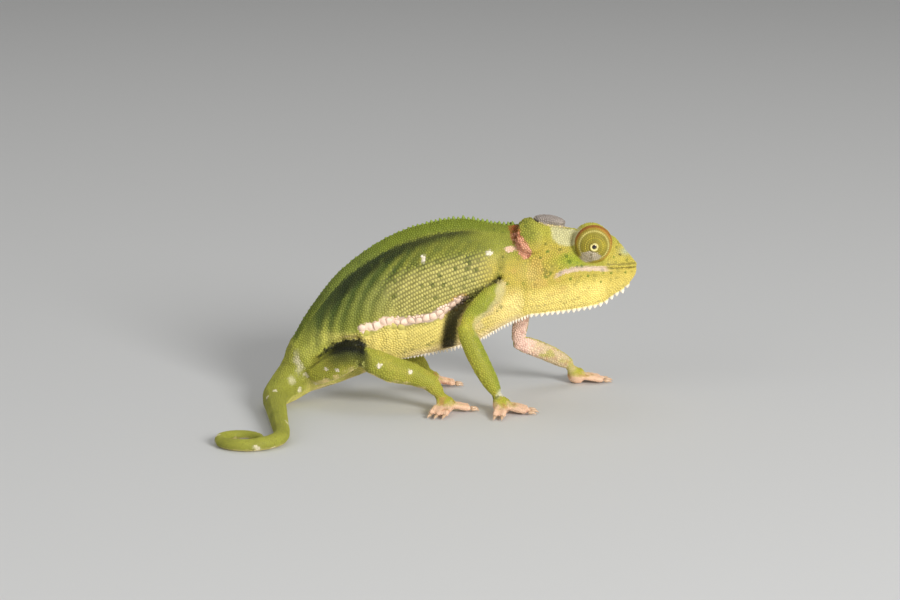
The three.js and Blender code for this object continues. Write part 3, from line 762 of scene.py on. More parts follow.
# Trunk
FLANK_GREEN = shade(160, 162, 62)
UPPER_FLANK_GREEN = shade(134, 135, 46)
BLOTCH_GREEN = shade(100, 112, 42)
BEAD_YELLOW = shade(210, 197, 118)
HIP_GREEN = shade(198, 196, 92)
RUMP_GREEN = shade(112, 124, 52)
HIP_YELLOW = shade(210, 202, 108)
CREST_GREEN = shade(118, 129, 34)
SHADOW_GREEN = shade(36, 46, 14)
# Dark streaks of the flank: partly own colour, partly painted shade
STREAK_AND_SHADE_GREEN = shade(68, 85, 28)
BELLY_YELLOW = shade(232, 214, 122)
CHEST_CREAM = shade(246, 226, 164)
FOLD_OLIVE = shade(146, 142, 56)
STRIPE_PINK = shade(255, 222, 198)
FRINGE_CREAM = shade(236, 214, 156)
PALE_SPOT = shade(240, 228, 205)
SCAR_RED = shade(176, 84, 48)
SCAR_PINK = shade(240, 178, 146)
PATCH_PINK = shade(238, 200, 172)
ORANGE = shade(206, 150, 66)
DOT_GREEN = shade(66, 84, 28)
FLANK_DOT_GREEN = shade(98, 106, 36)
# Head
HEAD_GREEN = shade(190, 184, 74)
THROAT_YELLOW = shade(250, 228, 130)
NECK_CREAM = shade(244, 214, 134)
NECK_TAN = shade(214, 178, 96)
CHEEK_YELLOW = shade(202, 182, 78)
CHEEK_GREEN = shade(158, 174, 44)
CHEEK_DOT_GREEN = shade(96, 122, 30)
LOBE_GREEN = shade(136, 139, 48)
SNOUT_YELLOW = shade(214, 192, 90)
# Painted highlight on the top of the snout
SNOUT_HIGHLIGHT = shade(188, 200, 180)
SHED_GREY = shade(158, 147, 138)
TEMPLE_GREY = shade(216, 210, 160)
LIP_PINK = shade(226, 200, 178)
# Dark lines, and painted shade in the mouth, the nostrils and grooves
LINE_AND_SHADE_BROWN = shade(104, 92, 38)
# Eye turrets
TURRET_OLIVE = shade(172, 154, 52)
RING_BROWN = shade(166, 92, 36)
RING_PALE = shade(206, 196, 120)
TURRET_SHED = shade(196, 182, 160)
LID_YELLOW = shade(240, 226, 150)
# Limbs and tail
LIMB_GREEN = shade(182, 179, 60)
LEG_OLIVE = shade(152, 152, 62)
ARM_GREEN = shade(130, 146, 48)
ARM_OLIVE = shade(150, 152, 60)
ARM_FRONT_GREEN = shade(126, 144, 44)
INNER_PINK = shade(255, 217, 200)
FOREARM_CREAM = shade(214, 198, 146)
SHOULDER_CREAM = shade(226, 208, 156)
WRIST_WHITE = shade(228, 222, 206)
KNEE_PALE = shade(216, 214, 120)
# Painted shade in the knee's creases
KNEE_CREASE_SHADE = shade(60, 64, 24)
TOE_CREAM = shade(238, 200, 168)
TOE_RED = shade(190, 120, 96)
TAIL_GREEN = shade(156, 156, 60)
# Cones, eyes and claws
CONE_WHITE = shade(250, 240, 222)
CONE_GREEN = shade(132, 150, 56)
PUPIL_BLACK = shade(10, 8, 6)
IRIS_BROWN = shade(92, 62, 26)
HORN = shade(206, 172, 138)

# Side line of large pale scales, from the groin to the armpit, and other marks side on: x, z.
STRIPE = flowing([(-7.4, 16.0), (-4.4, 16.7), (-2.6, 17.6), (0.2, 17.4), (4.2, 18.0),
                  (6.2, 18.3), (8.6, 19.6), (10.8, 20.8), (12.4, 21.9)], 5)
SCAR = flowing([(22.4, 36.4), (22.9, 34.6), (23.9, 32.7), (24.9, 31.0)], 5)
SHOULDER_FOLD = flowing([(20.5, 31.0), (20.1, 28.6), (19.8, 26.4), (19.6, 25.0)], 5)
SHOULDER_BLAZE = flowing([(20.2, 24.8), (19.4, 21.6), (17.4, 19.4), (15.5, 18.0), (15.7, 15.8)], 5)
# Pale spots, the near hip's marks and the patch behind the scar: x, z, half width, half height.
SIDE_SPOTS = ((17.8, 30.9, 0.8, 0.5), (4.8, 29.8, 0.5, 0.85), (-14.6, 8.3, 0.5, 0.35),
              (-12.4, 8.2, 0.45, 0.35), (-4.0, 9.8, 0.4, 0.6), (2.2, 8.6, 0.5, 0.4))
HIP_MARKS = ((-20.6, 9.4, 0.8, 1.2), (-20.0, 7.6, 0.8, 1.1), (-21.6, 5.2, 0.6, 0.9))
SHOULDER_PATCH = (22.1, 31.6, 1.2, 0.55)
# Dark green spots of the flank, and of the cheek and jaw: x, z, radius.
FLANK_SPOTS = ((-1.0, 25.3, 0.40), (3.4, 28.6, 0.50), (5.0, 28.0, 0.34), (6.6, 24.9, 0.48),
               (8.8, 25.0, 0.48), (8.1, 26.5, 0.36), (11.1, 28.0, 0.40), (13.1, 29.4, 0.50),
               (13.7, 29.0, 0.46), (13.1, 26.2, 0.40), (13.4, 27.9, 0.42), (15.1, 27.7, 0.44),
               (14.5, 25.7, 0.34), (10.3, 24.2, 0.36), (4.4, 24.8, 0.36), (4.9, 22.6, 0.34),
               (7.1, 22.3, 0.34), (6.2, 20.9, 0.36), (-1.0, 22.5, 0.36), (13.3, 30.3, 0.40),
               (8.4, 29.0, 0.34), (11.9, 31.0, 0.36), (20.4, 30.0, 0.32), (19.9, 28.0, 0.36),
               (19.8, 26.5, 0.32))
CHEEK_SPOTS = ((36.0, 27.8, 0.34), (35.2, 28.4, 0.30), (33.0, 29.8, 0.36), (33.7, 28.6, 0.34),
               (31.8, 27.4, 0.30), (29.0, 25.6, 0.30), (29.9, 26.4, 0.32), (27.7, 29.5, 0.28),
               (29.3, 30.6, 0.34), (21.3, 24.2, 0.46), (24.5, 24.4, 0.36), (33.9, 25.3, 0.32),
               (37.3, 25.9, 0.32), (39.8, 24.5, 0.24), (41.9, 26.4, 0.26), (44.8, 26.4, 0.34),
               (40.2, 26.3, 0.24), (42.4, 29.6, 0.24))


def dots(points, owners, count, sizes_from, sizes_to, seed):
    """Small round dots scattered over the given places: 1 inside a dot, 0 outside."""
    drawn = random.Random(seed)
    chosen = [i for i in range(len(points)) if owners[i]]
    tree = KDTree(count)
    sizes = []
    for k in range(count):
        tree.insert(Vector(points[drawn.choice(chosen)]), k)
        sizes.append(drawn.uniform(sizes_from, sizes_to))
    tree.balance()
    mask = np.zeros(len(points))
    for i in chosen:
        _, k, away = tree.find(Vector(points[i]))
        mask[i] = fade(away, 0.55 * sizes[k], 1.25 * sizes[k])
    return mask


class Coat:
    """The colours of the skin's points, laid over one another, and the values most of them use."""

    def __init__(self, mesh):
        self.at = at = Lie(mesh)
        self.x, self.z = at.points[:, 0], at.points[:, 2]
        self.across, self.up = np.abs(at.head[:, 1]), at.head[:, 2]
        self.broad = unit_noise(at.points, 5.0, 3.0)
        self.fine = unit_noise(at.points, 1.3, 5.0)
        self.trunk, self.skull = at.on(TRUNK_NODES, 8), at.on(HEAD_NODES, 3)
        self.jaw, self.tail = at.on(["lower_jaw"], 14), at.on(TAIL_NODES, 8)
        self.arms = at.on([n for n in LEG_NODES if "arm" in n], 4)
        self.legs = at.on([n for n in LEG_NODES if "arm" not in n], 4)
        self.sides = rise(at.side, 1.5, 3.0)
        self.temple = spot(self.x, self.up, (33.0, 34.3), 3.15, 2.8)
        self.oval = spot(self.x - 0.1 * at.head[:, 1], at.head[:, 1], (30.1, 0.0), 3.5, 2.75)
        self.above_roof = self.up - ROOF_AT[2] + 0.14 * (self.x - ROOF_AT[0])
        self.ribs = 0.5 - 0.5 * rib_wave(at.points)
        self.colours = np.tile(FLANK_GREEN, (len(at.points), 1))

    def lay(self, tint, mask):
        self.colours = self.colours + (tint - self.colours) * np.clip(mask, 0, 1)[:, None]

    def oblong(self, place):
        """Distance from a mark's centre side on, as a share of its size."""
        return np.sqrt(spot(self.x, self.z, place[:2], *place[2:]))


def paint_trunk(coat):
    at, lay, on_trunk = coat.at, coat.lay, coat.trunk
    run, height, z, bands = at.run, at.height, coat.z, coat.ribs
    lay(BEAD_YELLOW, 0.75 * on_trunk * fade(np.abs(height + 0.02), 0.3, 0.62) * fade(run, 24, 36)
        * rise(run, 2, 7))
    lay(UPPER_FLANK_GREEN, 0.75 * on_trunk * rise(height, 0.40, 0.60) * rise(run, 3, 8)
        * fade(run, 20, 30))
    lay(HIP_GREEN, 0.7 * on_trunk * rise(run, 36, 43) * fade(height, 0.35, 0.75))
    lay(CREST_GREEN, on_trunk * rise(height, 0.83, 0.89))
    lay(RUMP_GREEN, 0.55 * on_trunk * rise(run, 22, 29) * fade(run, 36, 42)
        * rise(height, -0.1, 0.3))
    # Dark streaks between the ribs, closing to one band under the crest: partly own colour, partly
    # painted shade of the ribs and the hollow
    streaked = height + 0.30 * (bands - 0.5)
    under_crest = rise(streaked, 0.36 - 0.36 * rise(run, 22, 36), 0.78) * fade(height, 0.82, 0.88)
    back = (0.4 * rise(run, 6, 12) + 0.6 * rise(run, 16, 25)) * fade(run, 40, 48)
    # Painted shade on the crest at the rear, where the back turns down
    lay(SHADOW_GREEN, 0.4 * on_trunk * rise(height, 0.83, 0.89) * rise(run, 32, 39)
        * fade(run, 44, 52))
    solid = 0.34 * rise(height, 0.38, 0.62)
    lay(STREAK_AND_SHADE_GREEN, on_trunk * under_crest * back * (0.55 + solid + (0.40 - solid) * bands ** 2)
        * (0.62 + 0.38 * rise(height, 0.2, 0.5)))
    # Painted shade, darkest, in the hollow just under the crest
    close = rise(height + 0.006 * (run - 22), 0.64, 0.75) * fade(height, 0.81, 0.86)
    lay(SHADOW_GREEN * 0.4, 0.75 * on_trunk * close * rise(run, 6, 12) * fade(run, 32, 44))
    # Streaks low on the rear flank, partly painted shade between the ribs
    lower = rise(height, -0.5, 0.1) * fade(height, 0.35, 0.6)
    lay(STREAK_AND_SHADE_GREEN, on_trunk * lower * rise(run, 22, 34) * fade(run, 42, 48) * 0.32 * bands)
    blotch = rise(unit_noise(at.points * [1.0, 1.0, 0.55], 1.0, 51.0), 0.05, 0.4)
    lay(BLOTCH_GREEN, 0.38 * blotch * on_trunk * rise(height, 0.3, 0.45) * fade(height, 0.74, 0.82)
        * rise(run, 4, 10) * fade(run, 26, 34))
    # Belly, throat side and shoulder
    below = np.interp(coat.x, STRIPE[:, 0], STRIPE[:, 1]) - z
    lay(BELLY_YELLOW, on_trunk * rise(below, 0.3, 2.2) * fade(run, 34, 44))
    lay(CHEEK_YELLOW, on_trunk * fade(run, 4, 11) * fade(height, 0.15, 0.6))
    lay(THROAT_YELLOW, on_trunk * fade(run, 5, 11) * fade(height, -0.55, -0.1))
    lay(CHEST_CREAM, 0.4 * on_trunk * fade(run, 6, 11) * fade(z, 21, 25))
    lay(FRINGE_CREAM, on_trunk * fade(height, -0.97, -0.8) * fade(run, 26, 34))
    fold, _ = to_line(at.flat, SHOULDER_FOLD)
    lay(FOLD_OLIVE, 0.55 * on_trunk * fade(fold + 0.3 * coat.fine, 0.3, 1.3) * coat.sides)
    lay(LOBE_GREEN, 0.6 * on_trunk * fade(run, 3, 9) * rise(height, 0.5, 0.8))


def paint_head(coat):
    at, lay, on_head, on_jaw, fine = coat.at, coat.lay, coat.skull, coat.jaw, coat.fine
    x, z, across, up = coat.x, coat.z, coat.across, coat.up
    lay(HEAD_GREEN, on_head)
    lay(CHEEK_YELLOW, on_head * fade(up, 31.0, 34.5) * fade(x, 31, 36))
    lay(CHEEK_GREEN, 0.8 * on_head * np.exp(-spot(x, up, (34.0, 28.9), 3.4, 1.6)))
    lay(CHEEK_YELLOW, on_jaw * 0.8)
    lay(NECK_CREAM, 0.5 * np.exp(-spot(x, z, (26.0, 26.8), 2.2, 2.0))
        * np.maximum(on_head, coat.trunk))
    lay(THROAT_YELLOW, on_jaw * fade(up - 0.16 * (x - 36), 22.5, 26.2))
    tan = unit_noise(at.points * [1.0, 1.0, 1.6], 2.4, 17.0) + 0.5 * fine
    lay(NECK_TAN, 0.45 * rise(tan, 0.1, 0.5) * rise(x, 19, 23) * fade(x, 33, 38) * rise(z, 21, 24)
        * fade(z, 30, 33))
    lay(LOBE_GREEN, on_head * rise(across, 1.0, 2.0) * fade(x, 25.5, 28.5) * rise(up, 30.5, 33.5)
        * (0.75 + 0.3 * fine))
    lay(SNOUT_YELLOW, 0.6 * on_head * rise(x, 39.5, 42.0) * fade(up, 31.0, 34.0))
    lay(TEMPLE_GREY, 0.9 * on_head * fade(coat.temple + 0.15 * fine, 0.7, 1.15)
        * rise(across, 0.8, 1.4))
    # Patch of unshed skin on the casque, with painted shadow round its rim
    oval, above_roof = coat.oval, coat.above_roof
    lay(LINE_AND_SHADE_BROWN, on_head * fade(oval, 1.15, 1.45) * rise(above_roof, -1.4, -1.0) * 0.35)
    lay(FRINGE_CREAM, on_head * fade(oval, 0.98, 1.12) * rise(above_roof, -1.1, -0.85) * 0.85)
    streaks = unit_noise(at.head * [0.35, 1.6, 1.0], 0.9, 31.0)
    lay(SHED_GREY * (1 + 0.3 * streaks[:, None]),
        on_head * fade(oval, 0.86, 0.98) * rise(above_roof, -0.9, -0.65))
    # Painted highlight, pale and bluish, on the top of the snout
    lay(SNOUT_HIGHLIGHT, 0.8 * on_head * np.exp(-spot(x, up, (45.2, 30.6), 1.3, 0.7)))
    # Lips, mouth and nostrils, with painted shade in the mouth's groove and in the nostrils
    gap, _ = to_line(at.head[:, [0, 2]], MOUTH)
    off = up - np.interp(x, MOUTH[:, 0], MOUTH[:, 1])
    on_lips = on_head * rise(across, 0.3, 1.0)
    lip = fade(np.abs(off + 0.12), 0.30, 0.62 + 0.1 * fine)
    lay(LIP_PINK, 0.92 * on_lips * lip * fade(x + fine, 40.6, 42.4) * rise(x, 30.2, 31.6))
    lay(LINE_AND_SHADE_BROWN, 0.55 * on_lips * fade(np.abs(off - 0.75), 0.08, 0.28) * rise(x, 40, 42))
    lay(LINE_AND_SHADE_BROWN * 0.7, 0.75 * on_head * fade(gap, 0.05, 0.18) * rise(x, 40.5, 42))
    lay(LINE_AND_SHADE_BROWN, 0.2 * on_head * fade(gap, 0.05, 0.16))
    lay(LINE_AND_SHADE_BROWN * 0.5, 0.9 * fade(from_nostril(at.head), 0.15, 0.42))


def paint_turret(coat, side):
    lay, fine = coat.lay, coat.fine
    local, out, across = from_turret(coat.at.head, side)
    here = rise(out, 0.1, 0.5) * fade(np.abs(out - 2.0), 2.6, 3.0)
    # Rings lighter and darker along the turret's fine wrinkles: painted light and shade
    wrinkle_shading = 0.16 * np.cos(2 * math.pi * across / 0.56)
    lay(TURRET_OLIVE * (0.94 + wrinkle_shading + 0.15 * fine)[:, None], here * fade(across, 3.8, 4.1))
    upper = rise(local[:, 2], -1.2, 1.2)
    lay(RING_BROWN, here * 0.9 * hump(across, 3.68, 0.30) * upper)
    lay(ORANGE, here * 0.6 * hump(across, 3.35, 0.22) * rise(local[:, 0], 0.0, 2.0))
    lay(LINE_AND_SHADE_BROWN, here * 0.5 * hump(across, 3.75, 0.2) * fade(local[:, 0], -3.2, -2.4)
        * (1 - upper))
    lay(RING_PALE, here * 0.6 * hump(across, 2.86, 0.2))
    lay(LOBE_GREEN, here * 0.35 * hump(across, 2.3, 0.25))
    lay(LOBE_GREEN, here * 0.35 * hump(across, 1.5, 0.2))
    shed = spot(local[:, 0], local[:, 2], (-0.8, -2.55), 2.1, 1.15)
    lay(TURRET_SHED, here * 0.85 * fade(shed + 0.3 * fine, 0.6, 1.1))
    lay(LINE_AND_SHADE_BROWN, here * 0.7 * fade(np.abs(local[:, 0] + 0.45), 0.06, 0.22)
        * fade(np.abs(local[:, 2] + 2.6), 0.7, 1.0))
    # Painted shade in the groove round the lid
    lay(LINE_AND_SHADE_BROWN, here * 0.5 * hump(across, 1.08, 0.12))
    lay(LID_YELLOW, here * fade(across, 0.72, 0.88))
    lay(LINE_AND_SHADE_BROWN * 0.25, here * fade(across, 0.42, 0.50))


def paint_limbs(coat):
    at, lay, fine, broad, arms, legs = coat.at, coat.lay, coat.fine, coat.broad, coat.arms, coat.legs
    x, y, z = at.points.T
    on_limb = at.on(LEG_NODES + TOE_NODES, 5)
    lay(LIMB_GREEN * (1 + 0.12 * broad[:, None]), on_limb)
    lay(CHEEK_YELLOW, on_limb * 0.5 * rise(fine + broad, 0.1, 0.7))
    # Arms: pink inside, the far forearm cream, a pale blaze before the near shoulder
    inner = np.where(y > 0, -at.normals[:, 1], at.normals[:, 1])
    lay(INNER_PINK, arms * rise(inner + 0.25 * fine, 0.0, 0.45) * 0.95)
    far_arm = arms * rise(y, 0.5, 2.0)
    far_wrist = far_arm * rise(x + 1.5 * fine, 25.0, 30.0)
    lay(FOREARM_CREAM, 0.75 * far_wrist)
    lay(LIMB_GREEN, 0.6 * far_wrist * rise(fine + 0.5 * broad + 0.10 * (x - 29.5), 0.15, 0.6))
    lay(SCAR_RED, 0.25 * far_arm * rise(unit_noise(at.points, 0.7, 41.0), 0.15, 0.4))
    near_arm = arms * rise(-y, 1.0, 2.5)
    lay(ARM_GREEN, 0.5 * near_arm * rise(z + fine, 18.0, 20.0))
    gap, _ = to_line(at.flat, SHOULDER_BLAZE)
    lay(SHOULDER_CREAM, 0.65 * fade(gap + 0.3 * fine, 0.5, 1.3) * rise(-y, 2.0, 3.5)
        * fade(z, 25.5, 26.5))
    # Legs, cream below, and painted shade on top of the thighs
    lay(LEG_OLIVE, 0.5 * legs)
    lay(FRINGE_CREAM, legs * rise(-at.normals[:, 2] + 0.2 * fine, 0.6, 0.95) * 0.85)
    lay(SHADOW_GREEN, 0.35 * at.on(["right_thigh", "left_thigh"], 4)
        * rise(at.normals[:, 2], 0.2, 0.7))
    lay(ARM_OLIVE, 0.4 * near_arm * fade(z, 14, 18))
    lay(ARM_FRONT_GREEN, 0.5 * near_arm * rise(at.normals[:, 0] + 0.3 * fine, 0.2, 0.8)
        * fade(z, 15, 18))
    # Feet, and a pale band on the near wrist with painted shade in its crease
    toes = at.on(TOE_NODES, 3)
    lay(TOE_CREAM, toes * fade(z + 0.8 * fine, 1.4, 2.7))
    lay(TOE_RED, 0.5 * toes * rise(fine, 0.25, 0.5))
    wrist = np.linalg.norm((at.points - WRISTS[0]) * [1, 1, 0.8], axis=1)
    wrist_x = WRISTS[0][0]
    lay(WRIST_WHITE, 0.8 * fade(wrist + 0.4 * fine, 0.7, 1.5)
        * rise(x, wrist_x - 0.6, wrist_x + 0.3))
    crease = at.points - (WRISTS[0] + np.array([0.0, 0.0, 0.1]))
    lay(SHADOW_GREEN, 0.6 * hump(crease[:, 2] - 0.3 * crease[:, 0], 0.0, 0.2)
        * fade(np.linalg.norm(crease, axis=1), 1.4, 2.2) * fade(crease[:, 0], -0.1, 0.5))


def paint_tail(coat):
    at, lay, on_tail = coat.at, coat.lay, coat.tail
    lay(TAIL_GREEN * (1 + 0.14 * coat.broad[:, None]), on_tail)
    lay(FRINGE_CREAM, on_tail * 0.55 * rise(-at.normals[:, 2], 0.4, 0.9))
    groin_gap, _ = to_line(at.flat, GROIN)
    hips = at.on(["pelvis", "tail_1"], 6)
    under = -at.normals[:, 2] + 0.2 * coat.fine
    lay(HIP_YELLOW, hips * 0.8 * rise(under, 0.1, 0.6) * rise(groin_gap, 1.2, 2.6))
    lay(FRINGE_CREAM, hips * 0.8 * rise(under, 0.7, 0.95))
    lay(LOBE_GREEN, 0.6 * on_tail * rise(unit_noise(at.points, 4.5, 9.0), 0.15, 0.45))


def paint_marks(coat):
    """The side line, pale and dark spots, and the scar in front of the shoulder."""
    at, lay, fine, x, z = coat.at, coat.lay, coat.fine, coat.x, coat.z
    on_head, on_trunk = coat.skull, coat.trunk
    on_flank = on_trunk * coat.sides
    line, _ = to_line(at.flat, STRIPE)
    lay(ORANGE, on_flank * 0.55 * fade(line, 1.0, 1.6) * rise(x, 8, 11))
    lay(STRIPE_PINK, on_flank * fade(line, 0.80, 0.95))
    for place in SIDE_SPOTS:
        lay(PALE_SPOT, fade(coat.oblong(place), 0.8, 1.15) * coat.sides)
    lay(PALE_SPOT, 0.7 * coat.tail * dots(at.points, coat.tail > 0.5, 16, 0.4, 0.7, 3))
    for place in HIP_MARKS:
        away = coat.oblong(place) + 0.7 * fine
        lay(PALE_SPOT, 0.42 * fade(away, 0.2, 1.5) * rise(-at.points[:, 1], 0.8, 2.0))
    from_scar, along = to_line(at.flat, SCAR)
    from_scar = from_scar + 0.25 * fine - 0.35 - 0.2 * rise(along, 1.5, 4.0)
    scar = fade(from_scar, 0.50, 0.85) * np.clip(at.on(["neck", "chest"] + HEAD_NODES, 4), 0, 1)
    scar = scar * (off_middle(at.points) < -0.25)
    torn = unit_noise(at.points, 0.7, 21.0)
    lay(SCAR_RED * (1 + 0.5 * torn[:, None]), scar * (0.75 + 0.4 * torn))
    lay(SCAR_PINK, scar * rise(along + 3.0 * torn, 1.4, 4.0) * 0.85)
    lay(SCAR_RED * 0.8, 0.7 * scar * rise(unit_noise(at.points, 0.55, 37.0), 0.2, 0.4))
    lay(PATCH_PINK, fade(coat.oblong(SHOULDER_PATCH) + 0.3 * fine, 0.8, 1.2) * on_flank)
    # Dark dots, clear of the eyes, the side line and the scar
    eye_away = np.linalg.norm((at.head - TURRET_AT) * [1, 0, 1], axis=1)
    spotted = (on_trunk > 0.5) & (at.run < 30)
    spotted |= (on_head > 0.5) & (coat.temple > 1.2) & (eye_away > 4.6)
    spotted &= (line > 1.2) & (from_scar > 1.6) & ((coat.oval > 1.3) | (coat.above_roof < -1.4))
    lay(DOT_GREEN, (0.5 - 0.25 * coat.jaw) * dots(at.points, spotted, 220, 0.18, 0.46, 5))
    for at_x, at_z, size in FLANK_SPOTS:
        away = np.hypot(x - at_x, z - at_z) + 0.1 * fine
        lay(FLANK_DOT_GREEN, 0.8 * fade(away, 0.5 * size, 1.3 * size) * on_flank)
    for at_x, at_z, size in CHEEK_SPOTS:
        away = np.hypot(at.head[:, 0] - at_x, coat.up - at_z) + 0.1 * fine
        lay(CHEEK_DOT_GREEN, 0.8 * fade(away, 0.4 * size, 1.3 * size) * rise(at.side, 0.8, 1.6)
            * np.maximum(on_head, on_trunk))


def paint_shadows(coat):
    """Painted deep shadow in the near groin and armpit, and wrinkles inside the bend of the knee with
    painted shade in their creases.
    """
    at, lay, x, z = coat.at, coat.lay, coat.x, coat.z
    near = at.near * coat.sides
    under = np.interp(x, GROIN[:, 0], GROIN[:, 1]) - z
    hip = near * np.clip(coat.trunk + coat.legs, 0, 1)
    lay(SHADOW_GREEN, 0.85 * hip * rise(under, 0.0, 0.4) * fade(under, 1.8, 6.0)
        * rise(x, -16.5, -12.0) * fade(x, -7.2, -4.8))
    deep = 0.5 + 1.1 * rise(x, -16.5, -11.0)
    lay(SHADOW_GREEN * 0.15, 0.96 * hip * rise(under, -0.12, 0.15)
        * fade(under, 0.6 * deep, 1.3 * deep)
        * rise(x, -16.9, -15.6) * fade(x, -7.4, -6.2))
    # Pale bands across the knee's wrinkles, and painted shade in their creases
    wrinkles = 0.5 + 0.5 * np.cos(2 * math.pi * (x + 7.7) / 1.3)
    in_knee = hump(x, -7.5, 1.0) * rise(z, 7.8, 8.6) * fade(z, 10.0, 10.9) * near * coat.legs
    lay(KNEE_PALE, 0.7 * in_knee * (1 - wrinkles) ** 2)
    lay(KNEE_CREASE_SHADE, 0.7 * in_knee * wrinkles ** 2)
    gap, along = to_line(at.flat, ARMPIT)
    wide = 0.4 + 1.2 * rise(along, 3.0, 13.0)
    lay(SHADOW_GREEN * 0.35, 0.92 * fade(gap, 0.5 * wide, 1.25 * wide) * at.near * coat.trunk
        * rise(at.side, 0.3, 0.9))


def markings_and_shade(mesh):
    """The colour of the skin at each of its points, its own colours with painted shade and a painted
    highlight laid in.
    """
    coat = Coat(mesh)
    paint_trunk(coat)
    paint_head(coat)
    for side in SIDES.values():
        paint_turret(coat, side)
    paint_limbs(coat)
    paint_tail(coat)
    paint_marks(coat)
    paint_shadows(coat)
    return np.clip(coat.colours * (1 + 0.06 * coat.fine + 0.06 * coat.broad)[:, None], 0.0, 1.0)


def paint(mesh, colours):
    layer = mesh.color_attributes.new("marking_and_shade", "FLOAT_COLOR", "POINT")
    rgba = np.column_stack([colours, np.ones(len(colours))]).astype(np.float32)
    layer.data.foreach_set("color", rgba.ravel())


def shade_between_scales(mesh, colours):
    """How light the bare skin between the scales is, darkened as painted shade in the gaps: least
    between the flank's rows, most on pale places."""
    at = Lie(mesh)
    x, z = at.points[:, 0], at.points[:, 2]
    on_trunk = at.on(TRUNK_NODES, 4)
    rows = on_trunk * rise(at.run, 5, 9) * fade(at.run, 24, 30) * fade(at.height, 0.45, 0.6)
    neck = (1 - rows) * rise(x, 19, 23) * fade(x, 33, 38)
    belly = on_trunk * rise(np.interp(x, STRIPE[:, 0], STRIPE[:, 1]) - z, 0.3, 2.2)
    pale = np.maximum(at.on(["lower_jaw"], 6), belly)
    share = 0.80 - 0.34 * rows * (1 - belly) - 0.10 * neck + 0.12 * pale
    return share * (1.0 + 0.15 * rise(colours[:, 2], 0.10, 0.35))


# Colours of the skin, painted shade included, darkened further between the scales as painted shade
SKIN_COLOURS = markings_and_shade(skin.data)
paint(skin.data, SKIN_COLOURS * shade_between_scales(skin.data, SKIN_COLOURS)[:, None])


# ---- Finishes ----
GRAIN_HEIGHT = 0.04 * MM


def socket(tree, name, kind, direction, value=None):
    made = tree.interface.new_socket(name=name, in_out=direction, socket_type=kind)
    if value is not None:
        made.default_value = value
    return made


def mapped(tree, value, low, high):
    """A value from 0 to 1, stretched to run from low to high."""
    node = tree.nodes.new("ShaderNodeMapRange")
    node.inputs["To Min"].default_value = low
    node.inputs["To Max"].default_value = high
    tree.links.new(value, node.inputs["Value"])
    return node.outputs["Result"]


def scaly_finish():
    """A node group: fine grain and mottling over the colour layer, painted shade included, with a
    matching bump and gloss.
    """
    tree = bpy.data.node_groups.new("scaly finish", "ShaderNodeTree")
    socket(tree, "Marking_and_shade", "NodeSocketColor", "INPUT")
    socket(tree, "Grain Scale", "NodeSocketFloat", "INPUT", 5200.0)
    socket(tree, "Relief", "NodeSocketFloat", "INPUT", 0.3)
    socket(tree, "Colour", "NodeSocketColor", "OUTPUT")
    socket(tree, "Roughness", "NodeSocketFloat", "OUTPUT")
    socket(tree, "Normal", "NodeSocketVector", "OUTPUT")
    nodes, links = tree.nodes, tree.links
    given, made = nodes.new("NodeGroupInput"), nodes.new("NodeGroupOutput")
    where = nodes.new("ShaderNodeTexCoord")
    grain = nodes.new("ShaderNodeTexVoronoi")
    grain.feature = "F1"
    links.new(where.outputs["Object"], grain.inputs["Vector"])
    links.new(given.outputs["Grain Scale"], grain.inputs["Scale"])
    mottle = nodes.new("ShaderNodeTexNoise")
    mottle.inputs["Scale"].default_value = 900.0
    mottle.inputs["Detail"].default_value = 3.0
    links.new(where.outputs["Object"], mottle.inputs["Vector"])
    lighter = mapped(tree, mottle.outputs["Fac"], 0.84, 1.16)
    tint = nodes.new("ShaderNodeVectorMath")
    tint.operation = "SCALE"
    links.new(given.outputs["Marking_and_shade"], tint.inputs[0])
    links.new(lighter, tint.inputs["Scale"])
    links.new(tint.outputs["Vector"], made.inputs["Colour"])
    links.new(mapped(tree, mottle.outputs["Fac"], 0.42, 0.62), made.inputs["Roughness"])
    bump = nodes.new("ShaderNodeBump")
    bump.invert = True
    bump.inputs["Distance"].default_value = GRAIN_HEIGHT
    links.new(given.outputs["Relief"], bump.inputs["Strength"])
    links.new(grain.outputs["Distance"], bump.inputs["Height"])
    links.new(bump.outputs["Normal"], made.inputs["Normal"])
    return tree


FINISH = scaly_finish()


def marked_material(name):
    """A material that shows a piece's own colour layer, painted shade included: the material, its
    shader and the colour layer.
    """
    material = bpy.data.materials.new(name)
    material.use_nodes = True
    nodes = material.node_tree.nodes
    marking_and_shade = nodes.new("ShaderNodeAttribute")
    marking_and_shade.attribute_name = "marking_and_shade"
    return material, nodes["Principled BSDF"], marking_and_shade.outputs["Color"]


def skin_finish(name, grain_scale, relief):
    material, shader, marking_and_shade = marked_material(name)
    links = material.node_tree.links
    finish = material.node_tree.nodes.new("ShaderNodeGroup")
    finish.node_tree = FINISH
    finish.inputs["Grain Scale"].default_value = grain_scale
    finish.inputs["Relief"].default_value = relief
    links.new(marking_and_shade, finish.inputs["Marking_and_shade"])
    links.new(finish.outputs["Colour"], shader.inputs["Base Color"])
    links.new(finish.outputs["Roughness"], shader.inputs["Roughness"])
    links.new(finish.outputs["Normal"], shader.inputs["Normal"])
    shader.inputs["Specular IOR Level"].default_value = SKIN_SHEEN
    return material


def plain_finish(name, roughness, coat):
    material, shader, marking_and_shade = marked_material(name)
    material.node_tree.links.new(marking_and_shade, shader.inputs["Base Color"])
    shader.inputs["Roughness"].default_value = roughness
    shader.inputs["Coat Weight"].default_value = coat
    shader.inputs["Coat Roughness"].default_value = 0.04
    return material


